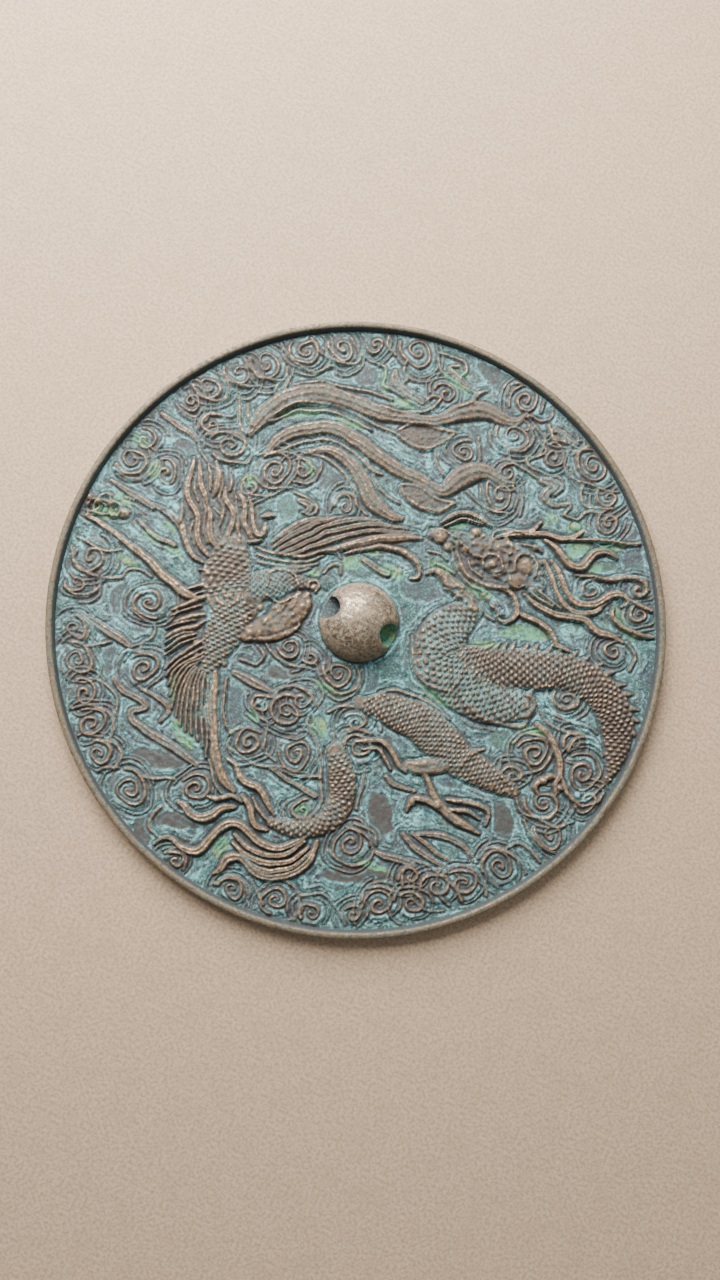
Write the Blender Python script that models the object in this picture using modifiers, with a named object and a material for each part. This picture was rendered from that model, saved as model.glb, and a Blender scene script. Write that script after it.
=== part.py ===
"""Round bronze mirror, ornamented back up: a cast disc with a raised rim,
a domed cord knob and a dragon, a phoenix and cloud scrolls in relief."""

from math import cos, pi, radians, sin

import bmesh
import bpy
from mathutils import Matrix, Vector

# Driving dimensions, in metres
MM = 0.001
MIRROR_DIAMETER = 150 * MM
PLATE_THICKNESS = 2.4 * MM
RIM_HEIGHT = 2.0 * MM
RIM_WIDTH = 2.0 * MM
RIM_WALL_SLOPE = 0.45 * MM
RIM_ROUNDING = 0.7 * MM
BACK_CHAMFER = 0.4 * MM
DISC_STEPS = 88

KNOB_DIAMETER = 19.6 * MM
KNOB_HEIGHT = 7.6 * MM
KNOB_SKIRT = 0.3 * MM
KNOB_STEPS = 36
KNOB_RINGS = 6
TUNNEL_WIDTH = 5.6 * MM
TUNNEL_HEIGHT = 5.8 * MM
TUNNEL_FLOOR = 0.15 * MM
TUNNEL_FOOT_ROUNDING = 1.5 * MM
TUNNEL_OVERRUN = 2 * MM
TUNNEL_ARC_STEPS = 10
TUNNEL_FOOT_STEPS = 3

# Relief heights above the field, and how far each form is sunk into it
DRAGON_HEIGHT = 1.7 * MM
DRAGON_KNOB_HEIGHT = 1.9 * MM
DRAGON_STRAND_HEIGHT = 1.3 * MM
PHOENIX_HEIGHT = 1.4 * MM
PLUME_HEIGHT = 1.2 * MM
CLOUD_HEIGHT = 0.8 * MM
RELIEF_SINK = 0.25 * MM
CLOUD_LINE_WIDTH = 1.5 * MM

# The drawing below is in millimetres from the knob's centre. It is turned
# so that the cord tunnel lies along X.
DRAWING_TURN = radians(25)

SMOOTH_ANGLE = radians(15)
SCROLL_TURNS = 1.5
SCROLL_STEPS = 8
SCROLL_EYE = 0.22

# Cloud scrolls: x, y, radius, angle of the outer end, turning sense inwards
CLOUD_SCROLLS = (
    (14.8, 67.8, 4.6, 150, 1), (4.3, 69.2, 2.6, 180, 1), (-4.0, 68.2, 3.4, 160, 1),
    (-13.0, 67.4, 4.0, 150, 1), (-23.0, 64.2, 4.4, 160, 1), (-37.0, 58.2, 3.7, 170, 1),
    (-41.8, 53.6, 2.4, 200, 1), (-55.3, 39.6, 4.0, 200, 1), (-47.3, 36.3, 3.4, 110, -1),
    (-31.5, 43.4, 4.4, 160, -1), (-20.5, 37.5, 4.5, 130, -1), (-3.8, 29.4, 2.8, 180, -1),
    (-65.0, 15.4, 4.4, 150, 1), (-50.5, 4.8, 4.4, 290, -1), (-67.0, -9.4, 4.3, 110, -1),
    (-65.3, -17.8, 3.0, 120, -1), (-63.6, -24.6, 3.2, 120, -1), (-54.4, -40.0, 4.6, 100, -1),
    (-38.8, -40.2, 3.6, 150, -1), (-51.6, -10.6, 4.2, 140, -1), (-18.0, -21.5, 4.4, 60, 1),
    (-26.2, -28.8, 3.4, 100, 1), (-15.4, -31.5, 4.3, 170, 1), (-0.2, -30.4, 3.6, 200, -1),
    (-2.2, -53.2, 4.3, 230, -1), (-29.6, -63.6, 3.2, 160, -1), (-19.6, -66.0, 3.5, 250, -1),
    (4.8, -66.8, 3.8, 190, -1), (12.6, -66.8, 3.0, 150, -1), (20.0, -62.8, 3.8, 190, -1),
    (33.5, -58.5, 4.3, 200, -1), (44.4, -43.8, 4.5, 160, 1), (54.0, -37.0, 4.6, 120, -1),
    (42.2, -31.6, 3.8, 160, -1), (50.5, -19.4, 2.8, 140, 1), (62.4, -6.4, 2.6, 40, 1),
    (69.0, 8.0, 2.4, 120, -1), (61.8, 25.0, 3.4, 90, 1), (58.4, 39.2, 4.9, 60, 1),
    (48.0, 41.4, 3.4, 100, -1), (38.4, 46.6, 4.4, 150, 1), (26.2, 42.4, 3.2, 60, 1),
    (34.8, 31.4, 4.0, 130, 1), (42.0, 56.2, 4.4, 200, -1),
)

# Mist bars and cloud edges, as open ridges
MIST_LINES = (
    ((-67, 2), (-62, -1.5), (-56, -5)),
    ((-58, -14), (-54.5, -17.5), (-51.5, -20), (-55, -22), (-51, -26.5), (-45, -30), (-39, -33.5)),
    ((-48.5, 51.5), (-44, 48), (-40, 45)),
    ((-60.5, 34.5), (-55, 31), (-50, 28)),
    ((-30, -12.5), (-26, -14.5), (-22, -16.5)),
    ((-21, -35), (-16, -38.5), (-10.5, -41.5)),
    ((10.5, -51), (14, -54), (20.5, -57.5)),
    ((14, -50.8), (20, -51.3), (24.5, -53.5), (27, -57)),
    ((3, 65), (7.5, 62.5), (8, 59), (14, 55.5)),
    ((20.5, 65), (24, 61), (29, 57.5)),
    ((37, 42), (43, 38), (48, 36), (49, 33), (44.5, 31.5), (49.5, 28.5)),
    ((53, 26), (56, 27.7), (59, 27)),
    ((-14, -65), (-9, -65), (-5, -68.5)),
    ((1, 15.5), (6.5, 12)),
)

# Dragon: body stretches as (x, y, width), each a tapering swept form
DRAGON_BODY = (
    ((27, 3, 8), (21, -2, 11), (20, -9, 13), (26, -15.5, 13), (33, -19.5, 11), (40, -20.5, 6)),
    ((24, -9, 10), (32, -11.5, 11), (41, -11.5, 10.5), (50, -12.2, 10), (57, -15, 9.5),
     (61.6, -20.5, 9), (63, -27, 7), (62, -33.5, 4), (59.8, -38, 2)),
    ((0.5, -19.5, 3.5), (7, -21, 7.5), (14, -24, 9), (19.5, -28.5, 9.5), (24.5, -33.5, 8),
     (30.5, -37, 6.5), (37, -40.5, 3)),
    ((-5.5, -31, 4), (-4.2, -37, 6), (-4.6, -43, 6), (-8.5, -48, 5), (-14.5, -49.3, 4), (-21, -47.5, 2)),
)
DRAGON_HEAD = (
    ((18, 21.5, 2.5), (23, 20.5, 5), (29, 18.5, 8), (35.5, 15, 10), (40.5, 12.5, 8), (43, 8.5, 4)),
    ((17.5, 13, 1.8), (22, 10, 3), (26, 7, 3), (28.5, 3.5, 1.8)),
    ((34, 21.2, 1.5), (39, 22.4, 2.4), (46, 22.3, 2), (52, 21.6, 2), (55.5, 23.3, 1.6)),
)
# Knobs of the head, each a short high form: nose, brow, eye and cheek
DRAGON_KNOBS = (
    ((19.2, 21.4, 1.2), (20.6, 21.5, 2.6), (22, 21.4, 1.2)),
    ((27.4, 22.4, 1), (28.7, 22.5, 2.4), (30, 22.3, 1)),
    ((31.2, 15.6, 1.2), (32.8, 14.7, 2.8), (34.4, 13.8, 1.2)),
    ((38.4, 14, 2), (40.5, 14, 4.4), (42.6, 14, 2)),
    ((36.4, 10.8, 1.4), (38, 10.6, 3.2), (39.6, 10.4, 1.4)),
)
DRAGON_STRANDS = (
    ((45, 20, 1.6), (49.5, 16, 2), (53, 13.8, 2.2), (57, 15.8, 2), (60, 18, 1.8), (64, 16.8, 1)),
    ((44.5, 15.5, 1.6), (49, 11, 2.2), (51.5, 6, 2.6), (56, 3.8, 2.6), (61, 6.4, 2.2), (66, 5.4, 1)),
    ((41, 7.5, 1.4), (45, 3.8, 2.2), (51, 1.8, 2.4), (57, 0.8, 2.2), (61, -2.6, 2), (65, -4.4, 1)),
    ((38, 2.4, 1.2), (43, 0, 1.8), (47, -2.8, 1.8), (48.8, -6.2, 1.5), (51.5, -6.9, 0.9)),
    ((34.5, 8.6, 1.2), (38, 6, 1.6), (38, 2, 1.4), (35, 0.4, 0.8)),
    ((20, 25, 1), (24.5, 26.8, 1.6), (32, 24.6, 1)),
    ((-1, -28.6, 1), (4, -28.3, 1.4), (7.6, -30.6, 1.6), (11, -35.4, 1.6)),
    ((-43, -43, 1), (-38.5, -46.5, 2.2), (-34.5, -45, 2.2), (-31, -43, 1.2)),
    ((-48, -52.6, 1), (-45, -51.8, 1.6), (-39.5, -54.6, 2.2), (-35.5, -51.5, 2.2), (-31, -48.3, 2.2),
     (-26, -50.6, 2.2), (-19.5, -54.3, 2.2), (-12.5, -51.5, 1.6)),
    ((-33, -59, 1), (-30, -55.8, 2.2), (-25.5, -57.3, 2.4), (-19, -60.3, 2.4), (-12.5, -57.8, 2),
     (-9.6, -52.5, 1.2)),
    ((-29.5, -51.5, 1.4), (-24, -56, 2.2), (-17.5, -57.2, 2.2), (-11.5, -53.5, 1.2)),
    ((-28, -40, 1.2), (-25.8, -44.5, 2), (-22, -49.3, 1.2)),
    ((-28.5, -36, 1.2), (-25.5, -39.6, 2), (-22.4, -42, 2), (-19.6, -46.6, 1)),
)
DRAGON_LEGS = (
    ((23, -34, 4.5), (15, -35, 3.6), (18.5, -41, 2.6), (22.5, -45.6, 2.4), (28.5, -50.4, 1)),
    ((20.5, -43, 1.6), (26, -43.8, 1.8), (30.5, -47.2, 1)),
    ((18.6, -43.2, 1.6), (13.5, -42.6, 1.8), (11, -46, 1)),
    ((43, -24.6, 2.6), (47.5, -29, 2.4), (49, -35.5, 2), (48, -40.5, 1.2)),
    ((48.6, -36, 1.6), (44.4, -38, 1.6), (42.4, -41.5, 0.9)),
)

# Spines along the outer edge of the dragon's long stretch
SPINES = 13
SPINE_LENGTH = 2.6
SPINE_WIDTH = 2.0
SPINE_FIRST_SHARE = 0.3
SPINE_LAST_SHARE = 0.74
SPINE_BACK_LEAN = 0.6
SPINE_SINK = 0.6
SPINE_TIP_SHARE = 0.25

# Phoenix: body, neck and flame crest as (x, y, width)
PHOENIX_BODY = (
    ((-36, 14, 4), (-33.5, 10, 7.5), (-32.5, 4, 9), (-33, -3, 8.5), (-34.5, -9, 6), (-35, -13, 3)),
    ((-32, 6, 7), (-26, 6.5, 7), (-20, 8.5, 6.5), (-15, 9.3, 5), (-11.2, 8.6, 3)),
    ((-29, -3, 3), (-23.5, -1.6, 5), (-18, 1, 4.6), (-15.2, 4.6, 2.2)),
)
PHOENIX_PLUMES = (
    ((-29.5, 46, 2), (-24.5, 51, 4), (-17.5, 55.4, 4.6), (-9, 56.8, 4), (0, 54.2, 3.8), (9, 51.6, 3.4),
     (17.5, 50.4, 2.8), (24, 51.8, 3.6), (30, 53.2, 4), (36, 50.9, 2.8), (42, 52.4, 1)),
    ((-26.5, 43, 2), (-20, 46, 3.4), (-12, 47.8, 3.4), (-3.5, 46, 3.2), (5, 41, 3.2), (13, 36.6, 3),
     (20, 34.2, 3.2), (26, 37, 4.2), (32, 37.4, 3.4), (38.5, 34.4, 1)),
    ((-22, 42, 1.8), (-14, 44.4, 2.8), (-6, 42.2, 3), (-1, 36.5, 3.6), (2.5, 30, 4), (8, 25.8, 2.6),
     (12.5, 26.8, 1.2)),
    ((10.5, 47, 1), (16.5, 46.2, 5), (24, 47.6, 1)),
    ((10.5, 34, 1), (16, 30.6, 5.4), (23.5, 29.8, 1)),
    ((24, 53.6, 1), (29, 55.6, 1.8), (32.5, 58, 1)),
    ((-22, 17.5, 3), (-14, 19.4, 7), (-6, 21.4, 6.4), (3, 21.2, 3.6), (14, 21, 1.4)),
    ((-2, 19, 1.6), (6, 18.8, 2), (12.6, 16.2, 2.2), (15, 12.8, 1.6), (12.6, 11.4, 0.8)),
    ((-25, 18, 1.6), (-19, 15.8, 1.8), (-12, 15.2, 1.8), (-5, 16.6, 1)),
    ((-24, 14.4, 1.4), (-18, 12.4, 1.8), (-9.5, 14, 1)),
    ((-33.8, -12.5, 2.6), (-34.9, -20, 2.8), (-34.2, -28.5, 2.8), (-31.6, -37, 2.8), (-28.8, -40.4, 1.4)),
    ((-65.3, 26, 1.6), (-58, 21, 1.8), (-51, 16, 2.2), (-45.5, 10, 3), (-40.5, 6.4, 2.4)),
    ((-65.6, 30.4, 1.4), (-62, 28.6, 2.4), (-58, 26.8, 1.6)),
)

# Tail flames of the phoenix: top point and root point of each wavy strand
FLAMES = (
    ((-40.5, 39), (-41.5, 24)), ((-36.6, 39.5), (-38, 16)), ((-32.6, 39), (-34.5, 17)),
    ((-29, 37), (-31, 18.5)), ((-26.6, 31), (-26.4, 20)),
)
FLAME_WIDTH = 2.3
FLAME_SWING = 1.1
FLAME_WAVE = 9.5

# Lower wing: feathers fanned from one root
WING_ROOT = (-38.6, -5)
WING_FEATHERS = 7
WING_FIRST_ANGLE = 214
WING_LAST_ANGLE = 272
WING_FIRST_LENGTH = 12
WING_LAST_LENGTH = 24
FEATHER_WIDTH = 2.1
FEATHER_ROOT_SHARE = 0.6
FEATHER_TIP_SHARE = 0.4
FEATHER_BOW = (-1.2, 1.2)

# Derived sizes
MIRROR_RADIUS = MIRROR_DIAMETER / 2
RIM_TOP = PLATE_THICKNESS + RIM_HEIGHT
FIELD_RADIUS = MIRROR_RADIUS - RIM_WIDTH
KNOB_RADIUS = KNOB_DIAMETER / 2
RELIEF_SCALE = MIRROR_DIAMETER / (150 * MM)


def clear_scene():
    for item in list(bpy.data.objects):
        bpy.data.objects.remove(item, do_unlink=True)


def new_collection(name):
    collection = bpy.data.collections.new(name)
    bpy.context.scene.collection.children.link(collection)
    return collection


def new_material(name, colour, roughness, metallic):
    material = bpy.data.materials.new(name)
    material.use_nodes = True
    shader = material.node_tree.nodes["Principled BSDF"]
    shader.inputs["Base Color"].default_value = (*colour, 1)
    shader.inputs["Roughness"].default_value = roughness
    shader.inputs["Metallic"].default_value = metallic
    return material


def turned(name, profile, steps, collection):
    """Turn an open (radius, height) profile about Z and close it with flat ends."""
    mesh = bpy.data.meshes.new(name)
    outline = bmesh.new()
    points = [outline.verts.new((radius, 0, height)) for radius, height in profile]
    for upper, lower in zip(points, points[1:]):
        outline.edges.new((upper, lower))
    outline.to_mesh(mesh)
    outline.free()
    body = bpy.data.objects.new(name, mesh)
    collection.objects.link(body)
    screw = body.modifiers.new("turn", "SCREW")
    screw.steps = steps
    screw.render_steps = steps
    screw.use_merge_vertices = True
    screw.merge_threshold = 0.00001
    solid = evaluated_mesh(body)
    shell = bmesh.new()
    shell.from_mesh(solid)
    open_edges = [edge for edge in shell.edges if edge.is_boundary]
    bmesh.ops.holes_fill(shell, edges=open_edges, sides=0)
    bmesh.ops.recalc_face_normals(shell, faces=shell.faces)
    shell.to_mesh(solid)
    shell.free()
    body.modifiers.clear()
    body.data = solid
    bpy.data.meshes.remove(mesh)
    return body


def evaluated_mesh(item):
    bpy.context.view_layer.update()
    graph = bpy.context.evaluated_depsgraph_get()
    return bpy.data.meshes.new_from_object(item.evaluated_get(graph))


def mark_as_tool(item):
    item.hide_render = True
    item.display_type = "WIRE"


def smooth_route(points, spacing):
    """Catmull-Rom curve through (x, y, width) points, at about the given spacing."""
    line = [Vector(point) for point in points]
    ends = [2 * line[0] - line[1]] + line + [2 * line[-1] - line[-2]]
    route = []
    for before, start, end, after in zip(ends, ends[1:], ends[2:], ends[3:]):
        steps = max(1, round((end.xy - start.xy).length / spacing))
        for step in range(steps):
            t = step / steps
            route.append(0.5 * (2 * start + (end - before) * t
                                + (2 * before - 5 * start + 4 * end - after) * t ** 2
                                + (3 * start - before - 3 * end + after) * t ** 3))
    route.append(line[-1])
    return route


def scroll_route(x, y, radius, start_angle, sense, width):
    """A cloud scroll: a spiral from its outer end towards its eye."""
    count = round(SCROLL_TURNS * SCROLL_STEPS)
    route = []
    for step in range(count + 1):
        share = step / count
        angle = radians(start_angle) + sense * SCROLL_TURNS * 2 * pi * share
        reach = radius * (1 - (1 - SCROLL_EYE) * share)
        taper = width * (1 - 0.35 * share)
        route.append(Vector((x + reach * cos(angle), y + reach * sin(angle), taper)))
    return route


def flame_route(top, root):
    """A strand from its top to its root that swings from side to side."""
    start, end = Vector(top), Vector(root)
    length = (end - start).length
    along = (end - start) / length
    across = Vector((-along.y, along.x))
    count = max(4, round(length / 2.4))
    route = []
    for step in range(count + 1):
        share = step / count
        swing = FLAME_SWING * sin(2 * pi * share * length / FLAME_WAVE)
        place = start + along * length * share + across * swing
        route.append(Vector((*place, FLAME_WIDTH * (0.45 + 0.55 * sin(pi * min(1, share + 0.12))))))
    return route


def spine_route(index):
    """One spine of the dragon's back, pointing out and a little backwards."""
    back = smooth_route(DRAGON_BODY[1], 1)
    share = SPINE_FIRST_SHARE + (SPINE_LAST_SHARE - SPINE_FIRST_SHARE) * index / (SPINES - 1)
    spot = round(share * (len(back) - 2))
    along = (back[spot + 1] - back[spot]).xy.normalized()
    outward = Vector((-along.y, along.x))
    root = back[spot].xy + outward * (back[spot].z / 2 - SPINE_SINK)
    tip = root + SPINE_LENGTH * (outward + along * SPINE_BACK_LEAN).normalized()
    return [Vector((*root, SPINE_WIDTH)), Vector((*tip, SPINE_WIDTH * SPINE_TIP_SHARE))]


def feather_route(index):
    """One feather of the lower wing, bent down from the wing's root."""
    share = index / (WING_FEATHERS - 1)
    angle = radians(WING_FIRST_ANGLE + (WING_LAST_ANGLE - WING_FIRST_ANGLE) * share)
    length = WING_FIRST_LENGTH + (WING_LAST_LENGTH - WING_FIRST_LENGTH) * share
    root = Vector(WING_ROOT)
    tip = root + length * Vector((cos(angle), sin(angle)))
    middle = (root + tip) / 2 + Vector(FEATHER_BOW) * (1 - share)
    line = [(*root, FEATHER_WIDTH * FEATHER_ROOT_SHARE), (*middle, FEATHER_WIDTH),
            (*tip, FEATHER_WIDTH * FEATHER_TIP_SHARE)]
    return smooth_route(line, 4)


def swept(name, route, height, resolution, collection):
    """Sweep a flattened round section along a drawn route, sunk into the field."""
    data = bpy.data.curves.new(name, "CURVE")
    data.dimensions = "3D"
    data.bevel_depth = 0.5
    data.bevel_resolution = resolution
    data.use_fill_caps = True
    spline = data.splines.new("POLY")
    spline.points.add(len(route) - 1)
    for knot, place in zip(spline.points, route):
        knot.co = (place.x, place.y, 0, 1)
        knot.radius = place.z
    curve = bpy.data.objects.new(name, data)
    collection.objects.link(curve)
    widest = max(place.z for place in route)
    depth = (height + RELIEF_SINK) / (widest / 2 * MM * RELIEF_SCALE)
    lift = Matrix.Translation((0, 0, PLATE_THICKNESS - RELIEF_SINK))
    turn = Matrix.Rotation(DRAWING_TURN, 4, "Z")
    size = MM * RELIEF_SCALE
    curve.matrix_world = lift @ turn @ Matrix.Diagonal((size, size, size * depth, 1))
    mesh = evaluated_mesh(curve)
    welded = bmesh.new()
    welded.from_mesh(mesh)
    bmesh.ops.transform(welded, matrix=curve.matrix_world, verts=welded.verts)
    bmesh.ops.remove_doubles(welded, verts=welded.verts, dist=0.00001)
    bmesh.ops.recalc_face_normals(welded, faces=welded.faces)
    welded.to_mesh(mesh)
    welded.free()
    form = bpy.data.objects.new(name, mesh)
    collection.objects.link(form)
    bpy.data.objects.remove(curve, do_unlink=True)
    mark_as_tool(form)


def disc(collection):
    """The plate and its raised rim, from the foot of the rim's inner wall outwards."""
    inner_top = FIELD_RADIUS + RIM_WALL_SLOPE
    profile = [
        (FIELD_RADIUS, PLATE_THICKNESS),
        (inner_top, RIM_TOP - RIM_ROUNDING * 0.5),
        (inner_top + RIM_ROUNDING * 0.5, RIM_TOP),
        (MIRROR_RADIUS - RIM_ROUNDING, RIM_TOP),
        (MIRROR_RADIUS - RIM_ROUNDING * 0.3, RIM_TOP - RIM_ROUNDING * 0.3),
        (MIRROR_RADIUS, RIM_TOP - RIM_ROUNDING),
        (MIRROR_RADIUS, BACK_CHAMFER),
        (MIRROR_RADIUS - BACK_CHAMFER, 0),
    ]
    return turned("bronze_mirror", profile, DISC_STEPS, collection)


def knob(collection):
    """The cord knob: a dome that stands on the field."""
    profile = []
    for ring in range(KNOB_RINGS):
        angle = pi / 2 * ring / KNOB_RINGS
        profile.append((KNOB_RADIUS * sin(angle), PLATE_THICKNESS + KNOB_HEIGHT * cos(angle)))
    profile.append((KNOB_RADIUS, PLATE_THICKNESS + KNOB_SKIRT))
    profile.append((KNOB_RADIUS, PLATE_THICKNESS - RELIEF_SINK))
    dome = turned("knob_dome", profile, KNOB_STEPS, collection)
    mark_as_tool(dome)
    return dome


def arc(x, y, radius, start, end, steps):
    """Points on an arc round (x, y), both ends included."""
    angles = [start + (end - start) * step / steps for step in range(steps + 1)]
    return [(x + radius * cos(angle), y + radius * sin(angle)) for angle in angles]


def tunnel_cutter(collection):
    """The arched passage for the cord, along X through the knob, with a rounded foot."""
    half = TUNNEL_WIDTH / 2
    foot = TUNNEL_FOOT_ROUNDING
    outline = arc(foot - half, foot, foot, -pi / 2, -pi, TUNNEL_FOOT_STEPS)
    outline += arc(0, TUNNEL_HEIGHT - half, half, pi, 0, TUNNEL_ARC_STEPS)
    outline += arc(half - foot, foot, foot, 0, -pi / 2, TUNNEL_FOOT_STEPS)
    data = bpy.data.curves.new("tunnel_outline", "CURVE")
    data.dimensions = "2D"
    data.fill_mode = "BOTH"
    data.extrude = KNOB_RADIUS + TUNNEL_OVERRUN
    spline = data.splines.new("POLY")
    spline.points.add(len(outline) - 1)
    for knot, (across, up) in zip(spline.points, outline):
        knot.co = (across, up, 0, 1)
    spline.use_cyclic_u = True
    curve = bpy.data.objects.new("tunnel_outline", data)
    collection.objects.link(curve)
    stand = Matrix.Rotation(pi / 2, 4, "Z") @ Matrix.Rotation(pi / 2, 4, "X")
    curve.matrix_world = Matrix.Translation((0, 0, PLATE_THICKNESS + TUNNEL_FLOOR)) @ stand
    mesh = evaluated_mesh(curve)
    solid = bmesh.new()
    solid.from_mesh(mesh)
    bmesh.ops.transform(solid, matrix=curve.matrix_world, verts=solid.verts)
    bmesh.ops.remove_doubles(solid, verts=solid.verts, dist=0.00001)
    bmesh.ops.recalc_face_normals(solid, faces=solid.faces)
    solid.to_mesh(mesh)
    solid.free()
    cutter = bpy.data.objects.new("tunnel", mesh)
    collection.objects.link(cutter)
    bpy.data.objects.remove(curve, do_unlink=True)
    mark_as_tool(cutter)
    return cutter


def combine(body, name, operation, other):
    """Join another body, or a whole collection of them, to the body, or cut it away."""
    step = body.modifiers.new(name, "BOOLEAN")
    step.solver = "EXACT"
    step.operation = operation
    if isinstance(other, bpy.types.Collection):
        step.operand_type = "COLLECTION"
        step.collection = other
    else:
        step.object = other


def relief(collection):
    """Every drawn form of the relief, as closed swept bodies."""
    line = CLOUD_LINE_WIDTH / MM
    for index, (x, y, radius, angle, sense) in enumerate(CLOUD_SCROLLS):
        route = scroll_route(x, y, radius, angle, sense, line)
        swept(f"scroll_{index}", route, CLOUD_HEIGHT, 0, collection)
    for index, points in enumerate(MIST_LINES):
        route = smooth_route([(x, y, line) for x, y in points], 4)
        swept(f"mist_{index}", route, CLOUD_HEIGHT, 0, collection)
    groups = (
        ("dragon_strand", DRAGON_STRANDS, DRAGON_STRAND_HEIGHT, 0, 3.2),
        ("dragon_leg", DRAGON_LEGS, DRAGON_STRAND_HEIGHT, 0, 3.6),
        ("dragon_body", DRAGON_BODY, DRAGON_HEIGHT, 2, 4.5),
        ("dragon_head", DRAGON_HEAD, DRAGON_HEIGHT, 2, 3.5),
        ("dragon_knob", DRAGON_KNOBS, DRAGON_KNOB_HEIGHT, 1, 4),
        ("phoenix_body", PHOENIX_BODY, PHOENIX_HEIGHT, 1, 3.6),
        ("plume", PHOENIX_PLUMES, PLUME_HEIGHT, 0, 4),
    )
    for name, routes, height, resolution, spacing in groups:
        for index, points in enumerate(routes):
            swept(f"{name}_{index}", smooth_route(points, spacing), height, resolution, collection)
    for index, (top, root) in enumerate(FLAMES):
        swept(f"flame_{index}", flame_route(top, root), PLUME_HEIGHT, 0, collection)
    for index in range(SPINES):
        swept(f"spine_{index}", spine_route(index), CLOUD_HEIGHT, 0, collection)
    for index in range(WING_FEATHERS):
        swept(f"feather_{index}", feather_route(index), PLUME_HEIGHT, 0, collection)


def main():
    clear_scene()
    mirror_parts = new_collection("bronze_mirror")
    forms = new_collection("relief_forms")
    tools = new_collection("knob_and_tunnel")
    mirror = disc(mirror_parts)
    relief(forms)
    combine(mirror, "relief", "UNION", forms)
    combine(mirror, "knob", "UNION", knob(tools))
    combine(mirror, "tunnel", "DIFFERENCE", tunnel_cutter(tools))
    bronze = new_material("aged_bronze", (0.16, 0.27, 0.28), 0.55, 0.6)
    casting = evaluated_mesh(mirror)
    mirror.modifiers.clear()
    mirror.data = casting
    casting.name = "bronze_mirror"
    casting.materials.clear()
    casting.materials.append(bronze)
    casting.shade_smooth()
    casting.set_sharp_from_angle(angle=SMOOTH_ANGLE)


main()
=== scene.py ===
from math import cos, pi, radians, sin

import bmesh
import bpy
import numpy as np
from mathutils import Matrix, Vector


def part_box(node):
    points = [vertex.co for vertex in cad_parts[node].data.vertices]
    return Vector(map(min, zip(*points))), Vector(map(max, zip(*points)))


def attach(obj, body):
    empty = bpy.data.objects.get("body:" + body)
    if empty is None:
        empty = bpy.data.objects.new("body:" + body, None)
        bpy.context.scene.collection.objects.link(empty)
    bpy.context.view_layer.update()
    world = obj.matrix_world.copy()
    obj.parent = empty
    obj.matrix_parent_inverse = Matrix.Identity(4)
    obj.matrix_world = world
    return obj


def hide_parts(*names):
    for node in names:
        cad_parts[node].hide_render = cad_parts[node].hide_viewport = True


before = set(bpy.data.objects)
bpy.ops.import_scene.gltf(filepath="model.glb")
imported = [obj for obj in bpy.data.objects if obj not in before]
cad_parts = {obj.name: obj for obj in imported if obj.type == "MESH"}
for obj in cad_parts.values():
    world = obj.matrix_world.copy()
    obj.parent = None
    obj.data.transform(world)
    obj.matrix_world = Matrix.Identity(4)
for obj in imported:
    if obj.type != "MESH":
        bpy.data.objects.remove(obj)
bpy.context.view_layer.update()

# All sizes are millimetres in a drawing whose origin is the knob's centre.
# The drawing is turned on the mirror so that the cord tunnel lies along X.
mm = 0.001
drawingTurn = radians(25)

reliefGrid = {
    "cell": 0.25,
    "reach": 73.75,          # half the side of the square grid
    "edge": 73.3,            # the relief's slab ends here, under the rim
    "fadeFrom": 72.1,
    "fadeTo": 72.95,
    "bottom": 1.5,
}

cell = reliefGrid["cell"]
count = int(round(2 * reliefGrid["reach"] / cell)) + 1
axisValues = (np.arange(count) - (count - 1) / 2) * cell
gridX, gridY = np.meshgrid(axisValues, axisValues)
gridShape = gridX.shape

# What the relief is made of: broad forms, thin ridges on them, and paint masks
mass, ridge, bronze, brown, bloom, crust, plain = (np.zeros(gridShape) for layer in range(7))
gap = np.full(gridShape, 9.0)      # distance to the nearest drawn edge


def driftNoise(x, y, scale, seed):
    # smooth noise between -1 and 1, the same each run, good for 90 mm each way
    reach = 90
    table = np.random.default_rng(seed).uniform(-1, 1, (int(2 * reach / scale) + 4,) * 2)
    u, v = (x + reach) / scale, (y + reach) / scale
    i, j = u.astype(int), v.astype(int)
    fu, fv = u - i, v - j
    fu, fv = fu * fu * (3 - 2 * fu), fv * fv * (3 - 2 * fv)
    top = table[j, i] * (1 - fu) + table[j, i + 1] * fu
    low = table[j + 1, i] * (1 - fu) + table[j + 1, i + 1] * fu
    return top * (1 - fv) + low * fv


def drifting(start, x, y, layers):
    # adds noises to a start, each given as strength, size and seed
    for strength, scale, seed in layers:
        start = start + strength * driftNoise(x, y, scale, seed)
    return start


# the drawing is a little unsteady, like hand carving: strength, size and seed
unsteady = {
    "sideways": [(0.3, 3.4, 81), (0.06, 1.3, 82)],
    "upways": [(0.3, 3.4, 83), (0.06, 1.3, 84)],
    "width": [(0.22, 2.4, 85), (0.12, 0.9, 86)],
}
drawnX = drifting(gridX, gridX, gridY, unsteady["sideways"])
drawnY = drifting(gridY, gridX, gridY, unsteady["upways"])
uneven = drifting(1, gridX, gridY, unsteady["width"])


def softStep(value, low, high):
    share = np.clip((value - low) / (high - low), 0, 1)
    return share * share * (3 - 2 * share)


def bell(value, centre, width):
    return np.exp(-((value - centre) / width) ** 2)


def blurred(values, width):
    # three box blurs, which come close to a Gaussian of this width in millimetres
    size = max(1, int(round(width / cell)))
    span = 2 * size + 1
    for turn in range(3):
        for side in (0, 1):
            padded = np.pad(values, [(size, size) if k == side else (0, 0) for k in (0, 1)], mode="edge")
            total = np.insert(np.cumsum(padded, axis=side), 0, 0, axis=side)
            high = np.take(total, range(span, total.shape[side]), axis=side)
            low = np.take(total, range(0, total.shape[side] - span), axis=side)
            values = (high - low) / span
    return values


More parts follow.
